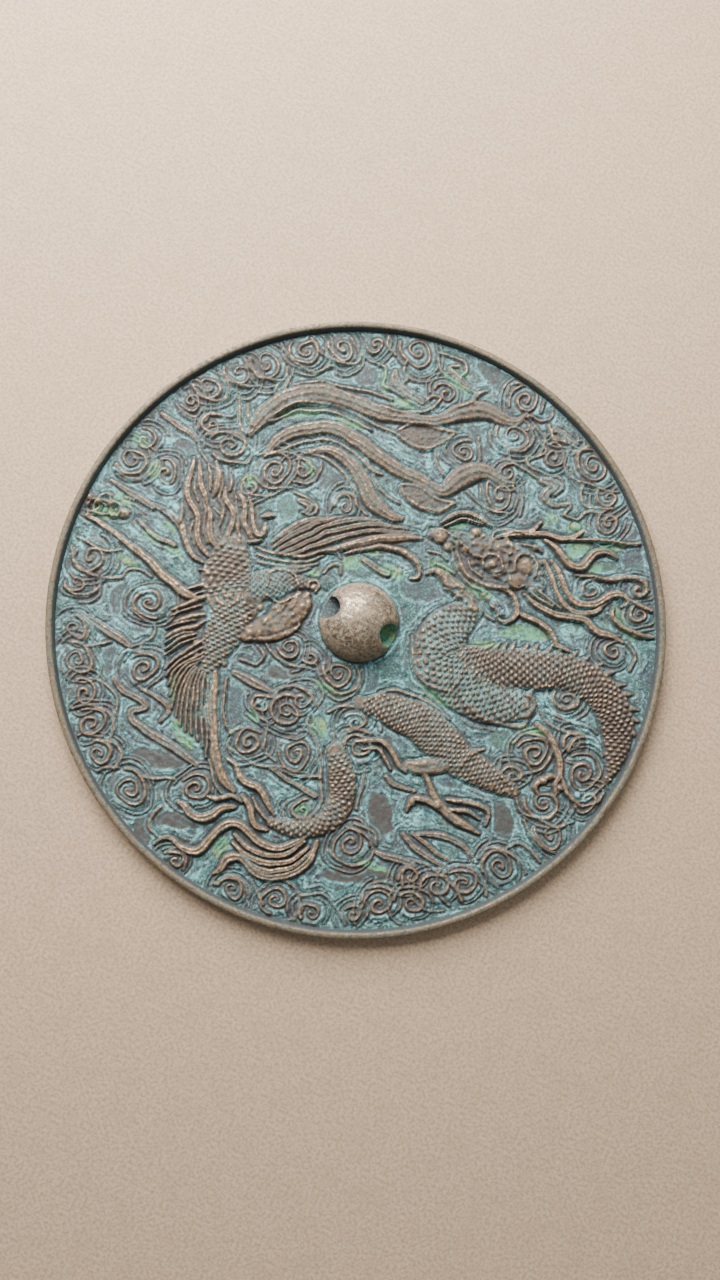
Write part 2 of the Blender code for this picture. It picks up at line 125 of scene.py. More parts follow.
def flowing(points, spacing=0.7):
    # a Catmull-Rom curve through x, y, width points
    line = np.array(points, float)
    ends = np.vstack([2 * line[0] - line[1], line, 2 * line[-1] - line[-2]])
    route = []
    for before, start, end, after in zip(ends, ends[1:], ends[2:], ends[3:]):
        steps = max(2, int(np.hypot(*(end - start)[:2]) / spacing))
        t = (np.arange(steps) / steps)[:, None]
        square = 2 * before - 5 * start + 4 * end - after
        cube = 3 * start - before - 3 * end + after
        route.append(0.5 * (2 * start + (end - before) * t + square * t ** 2 + cube * t ** 3))
    route.append(line[-1:])
    return np.vstack(route)


def spiral(x, y, radius, startAngle, sense, turns, width, wobble, eye=0.16):
    # a hand-drawn scroll: slightly oval and unsteady
    steps = int(turns * 26)
    share = np.arange(steps + 1) / steps
    angle = radians(startAngle) + sense * turns * 2 * pi * share
    oval = 1 + wobble * np.cos(2 * angle + x) + 0.6 * wobble * np.sin(3 * angle + y)
    reach = radius * (1 - (1 - eye) * share ** 0.85) * oval
    taper = width * (1 + 0.25 * np.sin(5 * share + x)) * (1 - 0.2 * share)
    return np.column_stack([x + reach * np.cos(angle), y + reach * np.sin(angle), taper])


def traced(line, reach):
    # the cells near a line, with their distance across it, along it, and its half width there
    half = (gridShape[0] - 1) / 2

    def cellsRound(least, most):
        return (np.floor((least[:2] - reach) / cell + half).astype(int),
                np.ceil((most[:2] + reach) / cell + half).astype(int) + 1)

    low, high = (np.clip(corner, 0, gridShape[0]) for corner in cellsRound(line.min(0), line.max(0)))
    window = (slice(low[1], high[1]), slice(low[0], high[0]))
    x, y = drawnX[window], drawnY[window]
    across, along, halfWidth = np.full(x.shape, 99.0), np.zeros(x.shape), np.ones(x.shape)
    done = 0.0
    for start, end in zip(line[:-1], line[1:]):
        run = end[:2] - start[:2]
        length = max(1e-6, np.hypot(*run))
        near, far = (np.maximum(corner - low, 0) for corner in
                     cellsRound(np.minimum(start, end), np.maximum(start, end)))
        part = (slice(near[1], far[1]), slice(near[0], far[0]))
        px, py = x[part] - start[0], y[part] - start[1]
        share = np.clip((px * run[0] + py * run[1]) / length ** 2, 0, 1)
        distance = np.hypot(px - share * run[0], py - share * run[1])
        side = np.where(run[0] * py - run[1] * px < 0, -1, 1)
        closer = distance < np.abs(across[part])
        width = start[2] + share * (end[2] - start[2])
        found = (side * distance, done + share * length, width / 2)
        for layer, values in zip((across, along, halfWidth), found):
            layer[part] = np.where(closer, values, layer[part])
        done += length
    return window, across, along, np.maximum(halfWidth, 0.05)


def raiseTo(layer, window, values):
    layer[window] = np.maximum(layer[window], values)


def drawRidge(line, height, tan):
    # a thin ridge that lies on whatever is under it
    window, across, along, half = traced(line, 3.2)
    half = half * uneven[window]
    section = np.clip(1 - (across / half) ** 2, 0, 1) ** 0.8
    raiseTo(ridge, window, height * section * uneven[window])
    raiseTo(bronze, window, tan * section)
    gap[window] = np.minimum(gap[window], np.abs(across) - half)


def scalePattern(window, across, along, half, pitch, depth):
    # scales in staggered rows, a little longer across the body than along it
    along = along + 0.3 * pitch * (uneven[window] - 1)
    row = along / (pitch * 0.66)
    shift = np.floor(row) % 2 * 0.5
    u = row - np.floor(row) - 0.5
    v = across / (pitch * 1.12) + shift
    v = v - np.floor(v) - 0.5
    size = 0.7 + 0.6 * (uneven[window] - 0.7)
    return depth * np.clip(1 - ((u - 0.1) ** 2 * 4.6 + v * v * 5.2) / size, 0, 1) ** 0.8


def grainPattern(window, across, along, half, pitch, depth):
    # small irregular granules
    x, y = gridX[window], gridY[window]
    first = driftNoise(x, y, pitch * 0.5, 61)
    second = driftNoise(x + 0.31, y - 0.17, pitch * 0.36, 62)
    return depth * np.clip(0.5 + 0.75 * first + 0.45 * second, 0, 1)


def combPattern(window, across, along, half, pitch, depth):
    # lengthwise barbs that follow the form's edge; the pitch is their number
    return depth * (0.5 + 0.5 * np.cos(2 * pi * pitch * across / (2 * half)))


patterns = {"scales": scalePattern, "grain": grainPattern, "comb": combPattern}


def drawForm(line, height, pattern=None, pitch=0, depth=0, tan=0, dark=0):
    # a broad rounded form, with its own pattern on top
    window, across, along, half = traced(line, line[:, 2].max() / 2 + 3.0)
    inside = np.clip(1 - (across / half) ** 2, 0, 1)
    rise = height * np.clip(half / (line[:, 2].max() / 2), 0.35, 1) ** 0.6
    section = rise * inside ** 0.5
    cover = softStep(inside, 0.0, 0.25)
    if pattern:
        relief = patterns[pattern](window, across, along, half, pitch, depth)
        section = section + cover * (relief - depth * 0.5)
    held = section > mass[window]
    raiseTo(mass, window, np.maximum(section, 0))
    bronze[window] = np.where(held & (inside > 0), tan * cover, bronze[window])
    brown[window] = np.where(held & (inside > 0), dark * cover, brown[window])
    ridge[window] = np.where(held & (inside > 0.15), 0, ridge[window])
    gap[window] = np.where(np.abs(across) < half - 0.2, np.abs(across) - half,
                           np.minimum(gap[window], np.abs(np.abs(across) - half)))


def drawBoss(x, y, radius, height, tan):
    line = np.array([[x - 0.05, y, 2 * radius], [x + 0.05, y, 2 * radius]])
    window, across, along, half = traced(line, radius + 1.5)
    section = height * np.clip(1 - (across / radius) ** 2, 0, 1) ** 0.6
    base = mass[window][section.shape[0] // 2, section.shape[1] // 2]
    raiseTo(mass, window, np.where(section > 0, section + base * 0.6, 0))
    raiseTo(bronze, window, tan * (section > 0))
    gap[window] = np.minimum(gap[window], np.abs(across) - radius)


def drawSets(relief, *names):
    # each named set of forms, ridges (height, tan) or bosses, in the manner that the relief gives it
    for name in names:
        manner = relief["manner"].get(name, ())
        for entry in relief[name]:
            if isinstance(entry, tuple):
                drawBoss(*entry, *manner)
            elif isinstance(manner, dict):
                drawForm(flowing(entry), **manner)
            else:
                drawRidge(flowing(entry), *manner)


def blobShare(x, y, wide, tall, tilt):
    # 1 inside a soft uneven patch, 0 outside it
    a = radians(tilt)
    u = (gridX - x) * cos(a) + (gridY - y) * sin(a)
    v = (gridY - y) * cos(a) - (gridX - x) * sin(a)
    size = np.sqrt((u / wide) ** 2 + (v / tall) ** 2)
    size = size + 0.16 * driftNoise(gridX, gridY, 1.7, 11)
    return 1 - softStep(size, 0.82, 1.08)


cloudRelief = {
    "lineWidth": 0.84,
    "lineHeight": 0.5,
    "plateHeight": 0.36,     # of the low plate under each scroll
    "plateBrown": 0.7,
    "wobble": 0.09,
    "scrollTan": 0.65,
    "edgeTan": 0.55,
    "outlineShare": 0.75,    # of the line's width and height
    "outlineTan": 0.4,
    "eye": (0.13, 0.3, 0.5),                          # share of the radius, height, tan
    "outlines": [(1.25, 20, 0.72), (2.5, 95, 0.5)],   # distance out, where it starts, share of a turn
    "bar": dict(height=0.55, pattern="comb", pitch=2, depth=-0.3, tan=0.6),
    # x, y, radius, angle of the outer end, turning sense, turns
    "scrolls": [
        (14.8, 68, 4.7, 150, 1, 1.9), (4.3, 69.6, 2.6, 180, 1, 1.4), (-4, 68.4, 3.6, 160, 1, 1.6),
        (-13, 67.8, 4.2, 150, 1, 1.9), (-23, 64.2, 4.5, 160, 1, 1.9), (-29.5, 62, 3.8, 180, 1, 1.2),
        (-37, 58.2, 3.8, 170, 1, 1.8), (-41.2, 54.4, 2.8, 200, 1, 1.7), (-55.3, 39.6, 4.1, 200, 1, 1.9),
        (-52.3, 44.4, 3.2, 100, -1, 1.2), (-47.3, 36.3, 3.6, 110, -1, 1.5), (-36, 48.5, 3, 90, 1, 1.5),
        (-31.5, 43.4, 4.6, 160, -1, 1.9), (-20.5, 37.5, 4.6, 130, -1, 2.2), (-13.8, 37.6, 3.2, 120, -1, 1.4),
        (-26.5, 33.4, 2.8, 120, 1, 1.4), (-3.4, 28.8, 3, 180, -1, 1.5), (-64.6, 15.6, 4.6, 150, 1, 1.5),
        (-68, 9.4, 2.8, 180, 1, 1.3), (-50.5, 4.8, 4.3, 290, -1, 1.8), (-68.2, -1.8, 3.2, 80, -1, 1.5),
        (-67.4, -9.4, 4.4, 110, -1, 1.9), (-65.6, -17.4, 3.6, 120, -1, 1.6), (-64, -24.4, 4, 120, -1, 1.8),
        (-61.8, -31.6, 3.5, 100, -1, 1.6), (-54.5, -40, 4.6, 100, -1, 2.1), (-38.8, -39.8, 4, 150, -1, 1.9),
        (-51.6, -11.2, 4.2, 140, -1, 1.9), (-16.8, -6.2, 2.9, 180, 1, 1.8), (-5, -12.4, 3.8, 150, 1, 2),
        (-11.6, -8.6, 2, 200, 1, 1.3), (-17.6, -21.6, 4.4, 60, 1, 2.1), (-14, -18.6, 2.6, 40, -1, 1.4),
        (-23.4, -19.8, 2.4, 120, 1, 1.4), (-26.2, -28.8, 3.5, 100, 1, 1.9), (-15, -31.6, 4.5, 170, 1, 2.2),
        (-0.8, -24.2, 3, 160, -1, 1.7), (0, -30.2, 3.9, 200, -1, 1.9), (-13.6, -45, 2.9, 60, 1, 1.5),
        (-2.2, -52.8, 4.3, 230, -1, 1.9), (-29.8, -63.5, 3.3, 160, -1, 1.7),
        (-19.6, -65.8, 3.8, 250, -1, 1.9), (-11.4, -69, 2.9, 200, -1, 1.4), (-1.4, -69.2, 2.4, 150, -1, 1.5),
        (4.8, -67, 4, 190, -1, 1.7), (12.8, -67, 3.3, 150, -1, 1.6), (18.6, -63, 4, 190, -1, 1.7),
        (12, -60.6, 2.8, 200, -1, 0.8), (25, -62.4, 3.9, 140, -1, 1.7), (33.5, -58.4, 4.3, 200, -1, 1.9),
        (46, -51, 4, 160, 1, 1.6), (44.4, -43.8, 4.6, 160, 1, 1.9), (54.2, -36.6, 5, 120, -1, 2.3),
        (54.8, -43, 3.2, 180, 1, 1.2), (42.4, -31.4, 4.1, 160, -1, 2), (37.2, -36.8, 2.9, 170, -1, 1.5),
        (50.4, -18.8, 3.2, 140, 1, 1.7), (62.2, -6.8, 2.9, 40, 1, 1.4), (69, 2.2, 2.5, 120, 1, 1.4),
        (69, 8.4, 2.5, 120, -1, 1.6), (57, 8, 2.6, 100, 1, 1.3), (61.8, 25, 3.4, 90, 1, 2),
        (62, 31.2, 3.3, 150, 1, 1.3), (58.4, 39.4, 5.2, 60, 1, 2.1), (48.2, 41.2, 3.5, 100, -1, 1.8),
        (38.5, 46.6, 4.6, 150, 1, 1.8), (26.2, 42.6, 3.2, 60, 1, 1.9), (34.8, 31.6, 4.2, 130, 1, 1.8),
        (41.6, 55.8, 4.6, 200, -1, 2), (50.6, 47, 2.8, 150, 1, 1.2), (37, 37.4, 2.6, 60, 1, 1.4),
        (-43.4, -56.6, 2.4, 120, -1, 1.2), (-65.6, 30.2, 1.6, 90, 1, 1.2), (52, -29, 2.6, 200, -1, 1.2),
        (21.6, 57, 3, 150, -1, 1.4),
    ],
    # open cloud edges and mist lines
    "edges": [
        [(-12, 71), (-9.3, 67), (-5, 65), (-1, 64.6), (0.2, 67), (-2, 71)],
        [(-19.4, 70), (-17.5, 66.3), (-14, 63.4), (-10, 62.4), (-7, 64)],
        [(-28.6, 66), (-26.5, 62.6), (-22, 60.2), (-18.4, 60.8), (-18, 63.5)],
        [(-33.4, 63.5), (-32, 60.2), (-28.5, 58.3), (-24.5, 58.6)],
        [(-41.6, 59.4), (-39, 56), (-35.5, 54.6), (-32.6, 56), (-32.2, 59.4), (-34.6, 62)],
        [(-45, 54), (-43, 51.6), (-40, 50.8), (-38, 53)],
        [(-59.8, 37.6), (-56.4, 35.2), (-52.6, 35.6), (-50.6, 38.6), (-51.6, 42.6)],
        [(-39.4, 47.4), (-38.6, 50.8), (-35, 51.2), (-31, 51), (-30, 53)],
        [(-36.8, 46), (-32.6, 46.6), (-28.6, 45), (-26, 42)],
        [(-36, 41.6), (-33, 39.6), (-28, 38.8), (-26.6, 40)],
        [(-25.6, 41.4), (-22, 41.6), (-17.4, 42), (-14, 40.6), (-10.6, 38), (-10.4, 35.4), (-13, 34),
         (-16, 34.6)],
        [(-25.4, 36), (-23, 33.4), (-19.4, 32.8), (-16.4, 33)],
        [(-28.6, 35), (-26.6, 31.6), (-22, 31.2), (-19.4, 32.2)],
        [(-15.6, 31.8), (-12, 30.2), (-10.4, 28), (-11.6, 26.4), (-14, 27)],
        [(-7, 28), (-6, 31.2), (-3, 32), (-0.6, 30.8)],
        [(-69.8, 18.4), (-67.4, 13.2), (-62.4, 10.8), (-57.4, 10.6)],
        [(-68.2, 20.6), (-65, 18.8), (-61, 17), (-57.6, 17.4)],
        [(-71.2, 8.8), (-68.6, 6.6), (-65, 6.6), (-62.6, 8.6), (-62.4, 12)],
        [(-57.4, 10.6), (-55.6, 12.6), (-52.6, 12.6), (-50.4, 11)],
        [(-55, 3), (-52, 0.4), (-49.4, -0.8), (-49.8, -3.6), (-52.4, -5), (-52.6, -7.4)],
        [(-66, 1.2), (-64.4, -2), (-66.4, -5.4), (-63.4, -5.6), (-60, -4.6)],
        [(-64.4, -13.6), (-60.6, -15), (-58, -18.6), (-58.4, -22.6)],
        [(-68.6, -21), (-64, -20), (-60, -22), (-58.4, -26), (-61, -29)],
        [(-63, -28.6), (-58.8, -28.8), (-56.4, -32), (-58.2, -35.4)],
        [(-57.8, -10), (-56.2, -7.2), (-52.4, -7)],
        [(-62.4, -36), (-60, -35), (-57, -35)],
        [(-51.6, -37), (-48, -37.4), (-44, -37.6)],
        [(-47, -44), (-49, -46), (-49.8, -49), (-47.8, -51)],
        [(-45.8, -54.6), (-43, -53.6), (-40.8, -56), (-41.4, -58.6)],
        [(-22.4, -5), (-20, -8.4), (-16, -10.6), (-12, -11.2)],
        [(-10.4, -10.2), (-9, -14.2), (-5.4, -17), (-1.4, -16.6), (0.4, -13.8), (-1, -10)],
        [(-28.4, -9), (-24.6, -10.2), (-22.8, -8), (-24.4, -5.8)],
        [(-25.8, -20), (-24.6, -17.8), (-21, -18), (-19.4, -16.4), (-15.4, -15.6), (-12, -17.2),
         (-10.4, -20)],
        [(-25.8, -20.4), (-24, -23), (-21.8, -24.6), (-22.4, -28), (-22.8, -31), (-20, -33.4)],
        [(-11.8, -22), (-12.4, -24.4), (-10.6, -28), (-9.4, -31), (-10.4, -34)],
        [(-31, -27), (-28, -25.4), (-23.6, -26.6)],
        [(-31, -30.4), (-27, -33.2), (-23, -34.6), (-19, -34.8), (-12, -36.4)],
        [(-7.4, -22), (-4.4, -20.4), (0, -20.6), (4, -23), (5, -26)],
        [(-3.8, -31.6), (-4.2, -28), (-1, -26), (3, -26.8)],
        [(-6.6, -27), (-5.4, -29.4), (-3.6, -30.2)],
        [(-7.6, -54.4), (-3, -57.6), (1.6, -57.4), (3.4, -54.6), (1.2, -50.6), (-3, -48.8)],
        [(-1, -48), (3.6, -50.2), (4.2, -53.4)],
        [(-33.6, -62), (-31, -60), (-27.2, -61.8), (-26, -65.4)],
        [(-26, -60.6), (-24.2, -64), (-22.6, -67.2)],
        [(-17.6, -61.4), (-14.8, -63.6), (-14, -67), (-15.4, -70.4)],
        [(-14, -64.8), (-9, -64.8), (-5.8, -67.4), (-3.4, -71.6)],
        [(0.6, -66.4), (1.6, -63.6), (5, -62.8), (8.4, -64.4)],
        [(8.4, -66.4), (9.4, -63.8), (12, -62.8)],
        [(10.2, -62.8), (10.2, -59.4), (13, -57.4), (16.4, -58), (19.6, -60.6), (23, -63.4), (24.2, -66.6)],
        [(20.8, -59.6), (24, -58.2), (27.8, -59.6), (30.4, -63), (30.4, -65.4)],
        [(28.8, -56.6), (31, -54.2), (35.2, -54.8), (38.2, -57), (39.8, -60)],
        [(35.4, -53.8), (38, -53), (41.2, -55), (43.4, -57.6)],
        [(39.8, -47.6), (41.8, -52), (46, -55), (50.4, -54.2)],
        [(37.4, -40.6), (38.8, -45.2), (43, -47.4), (47, -49.2), (51.4, -48.2)],
        [(50, -40.4), (53, -44), (57.2, -43.4), (59, -41)],
        [(50.6, -31), (52.6, -28), (57.2, -28.4), (59.2, -32)],
        [(37.4, -29.4), (40, -27), (44.2, -27.6), (47, -31), (44.2, -35), (40, -36.4)],
        [(45.6, -16.4), (48, -20), (52.4, -20.6), (53.6, -18)],
        [(45.6, -21), (50, -23.6), (55.4, -25), (58, -27)],
        [(43.6, -20), (45.6, -24), (50, -26.4), (54.6, -27)],
        [(65.6, -4.6), (67.8, -8), (66.4, -11.4)],
        [(64.6, 4), (67.6, 4.8), (71, 3.2)],
        [(61, 2.4), (64, 0), (68, -3), (71.6, -3.2)],
        [(55.6, 11.4), (60, 10.8), (65, 12), (70, 11.2), (71.6, 8.4)],
        [(50.4, 27), (54, 25.8), (56.4, 27.8), (59.4, 27.4)],
        [(55, 20.8), (62, 20.4), (66, 19.4), (69.6, 20.2)],
        [(55.8, 34.6), (54.8, 32), (56, 29.6), (59, 28.4), (63, 28.2)],
        [(51, 27.4), (52.4, 29), (52, 31)],
        [(52.8, 43), (51, 39.4), (52.6, 36.2), (57, 34.6), (61, 33), (64.6, 33)],
        [(60.4, 43.4), (55.6, 43.4), (53.2, 42)],
        [(37, 43.6), (37.4, 41), (41, 38.4), (45, 36), (49.4, 36.2), (50.6, 33.6), (48.4, 31.6)],
        [(44.6, 45.6), (46.4, 42.6), (44, 41.4), (41.8, 41.6), (42.4, 39), (47, 36.8)],
        [(47.4, 49.6), (48, 46.8), (51, 45.2), (55, 43.6)],
        [(33, 49.4), (34, 45.6), (37, 43.2), (41, 43.2), (43.2, 46), (42.4, 49)],
        [(43.4, 49.6), (46, 46.6), (45.6, 43.2)],
        [(29.8, 46), (29.8, 40.4), (28, 38.6)],
        [(19, 44.4), (19.2, 40), (21, 36.6)],
        [(21, 43.8), (22.4, 41), (24.4, 39)],
        [(26.8, 32.6), (29.4, 29.8), (33, 27.8), (37, 26.8)],
        [(38, 34), (40.4, 30.6), (39.6, 26.6)],
        [(36.8, 57.4), (38, 59.8), (41.4, 60.2)],
        [(42, 51.8), (45, 50.8), (47.8, 51.4), (48.4, 54)],
        [(2.8, 65.4), (6.4, 64), (6.6, 61.4), (6.2, 59.4), (9, 57.4), (12, 55.8), (15, 54)],
        [(12, 66), (11, 63), (12.2, 61), (10.8, 59.6), (14, 57.4), (17.4, 56)],
        [(19.8, 66.4), (20.6, 62.8), (25, 59.8), (29.6, 57.4)],
        [(20, 67.6), (24, 66.4), (26.6, 65.2), (27, 63), (25.4, 61.8)],
        [(7.6, 72), (7.2, 69.4), (9, 67.2)],
        [(23, 64), (25.4, 64.4), (26, 62.8)],
    ],
    # raised bars of mist, as x, y, width
    "bars": [
        [(-67.6, 2.6, 1), (-63, -0.8, 2.4), (-58, -3.6, 2.4), (-55.6, -5.4, 1.6)],
        [(-58.6, -13.6, 1.6), (-56.4, -16.8, 1.8), (-52.6, -18.6, 1.8), (-51.2, -20.6, 1.8),
         (-54.6, -21.8, 1.8), (-53.6, -24.4, 2), (-49, -27.4, 2.2), (-43.6, -30.4, 2.4), (-38.6, -34, 1.6)],
        [(-53, -15.4, 1), (-49, -18, 1.4), (-45.6, -21, 1.4), (-47.6, -24, 1)],
        [(-48.6, 51.6, 1), (-44.4, 48.4, 2), (-39.6, 44.8, 1.4)],
        [(-60.6, 34.6, 1), (-55, 31.2, 2), (-50, 28, 1.6)],
        [(-57, 30.6, 0.9), (-50, 28.6, 1.2), (-45.6, 25.8, 2), (-42.6, 22.4, 2.4), (-41.6, 18.4, 1.8)],
        [(-54, 25, 1), (-50, 21.4, 1.4), (-45, 18.6, 1.4)],
        [(-30, -12.2, 1.6), (-26, -14.2, 2.6), (-21.6, -16.6, 1.6)],
        [(-21.4, -35, 1), (-16, -38.6, 1.4), (-10.2, -41.8, 1.2)],
        [(-20, -35.2, 0.9), (-14, -37, 1.2), (-9.4, -37.2, 1)],
        [(10.4, -50.8, 1.2), (13, -54, 1.6), (17, -56.6, 1.6), (21, -58.4, 1)],
        [(12.6, -50.6, 1.2), (17, -54, 1.4), (21.4, -57, 1)],
        [(14, -50.8, 1.2), (20, -51.2, 1.6), (24.6, -53.4, 1.6), (27.2, -57.2, 1)],
        [(3.4, -54.8, 1), (8, -56.6, 2), (13, -58, 1.4)],
        [(6.6, -37, 1.2), (8.4, -39, 1.4), (13.4, -40.6, 1)],
        [(9.2, 62.8, 1.4), (9.2, 60.4, 3), (12, 57.4, 3), (15.6, 55.2, 2)],
        [(45.4, 35.6, 2.2), (48.4, 34, 3.4), (46, 31.6, 2.6), (48.6, 29.2, 1.4), (51.8, 29.6, 0.9)],
        [(22.6, 63.8, 1), (24, 61.8, 2.4), (27.6, 59.2, 1.2)],
        [(0.8, 15.6, 1.6), (6.8, 12, 1.8)],
        [(48.6, 48.4, 1.4), (51.6, 46.6, 2.2), (54.6, 45, 1)],
        [(-14.6, 30, 1.4), (-12, 28.6, 2.4), (-13, 26.8, 1.2)],
    ],
}


def drawClouds():
    look = cloudRelief
    for x, y, radius, angle, sense, turns in look["scrolls"]:
        plate = 1 - softStep(np.hypot(drawnX - x, drawnY - y), radius - 0.1, radius + 0.6)
        np.maximum(mass, look["plateHeight"] * plate, out=mass)
        np.maximum(brown, look["plateBrown"] * plate, out=brown)
    eyeShare, eyeHeight, eyeTan = look["eye"]
    for x, y, radius, angle, sense, turns in look["scrolls"]:
        size = look["lineWidth"] * (0.8 + 0.05 * radius)
        turns = max(1.1, turns * 0.86)
        scroll = spiral(x, y, radius, angle, sense, turns, size, look["wobble"])
        drawRidge(scroll, look["lineHeight"], look["scrollTan"])
        drawBoss(x, y, eyeShare * radius, eyeHeight, eyeTan)
        # lobed outlines that stand round the scroll
        for away, opening, share in look["outlines"]:
            ring = spiral(x, y, radius + away, angle + opening, sense, share,
                          look["outlineShare"] * size, 0.1, eye=0.94)
            drawRidge(ring, look["outlineShare"] * look["lineHeight"], look["outlineTan"])
    for points in look["edges"]:
        line = flowing([(x, y, look["lineWidth"]) for x, y in points])
        drawRidge(line, look["lineHeight"], look["edgeTan"])
    for points in look["bars"]:
        drawForm(flowing(points), **look["bar"])


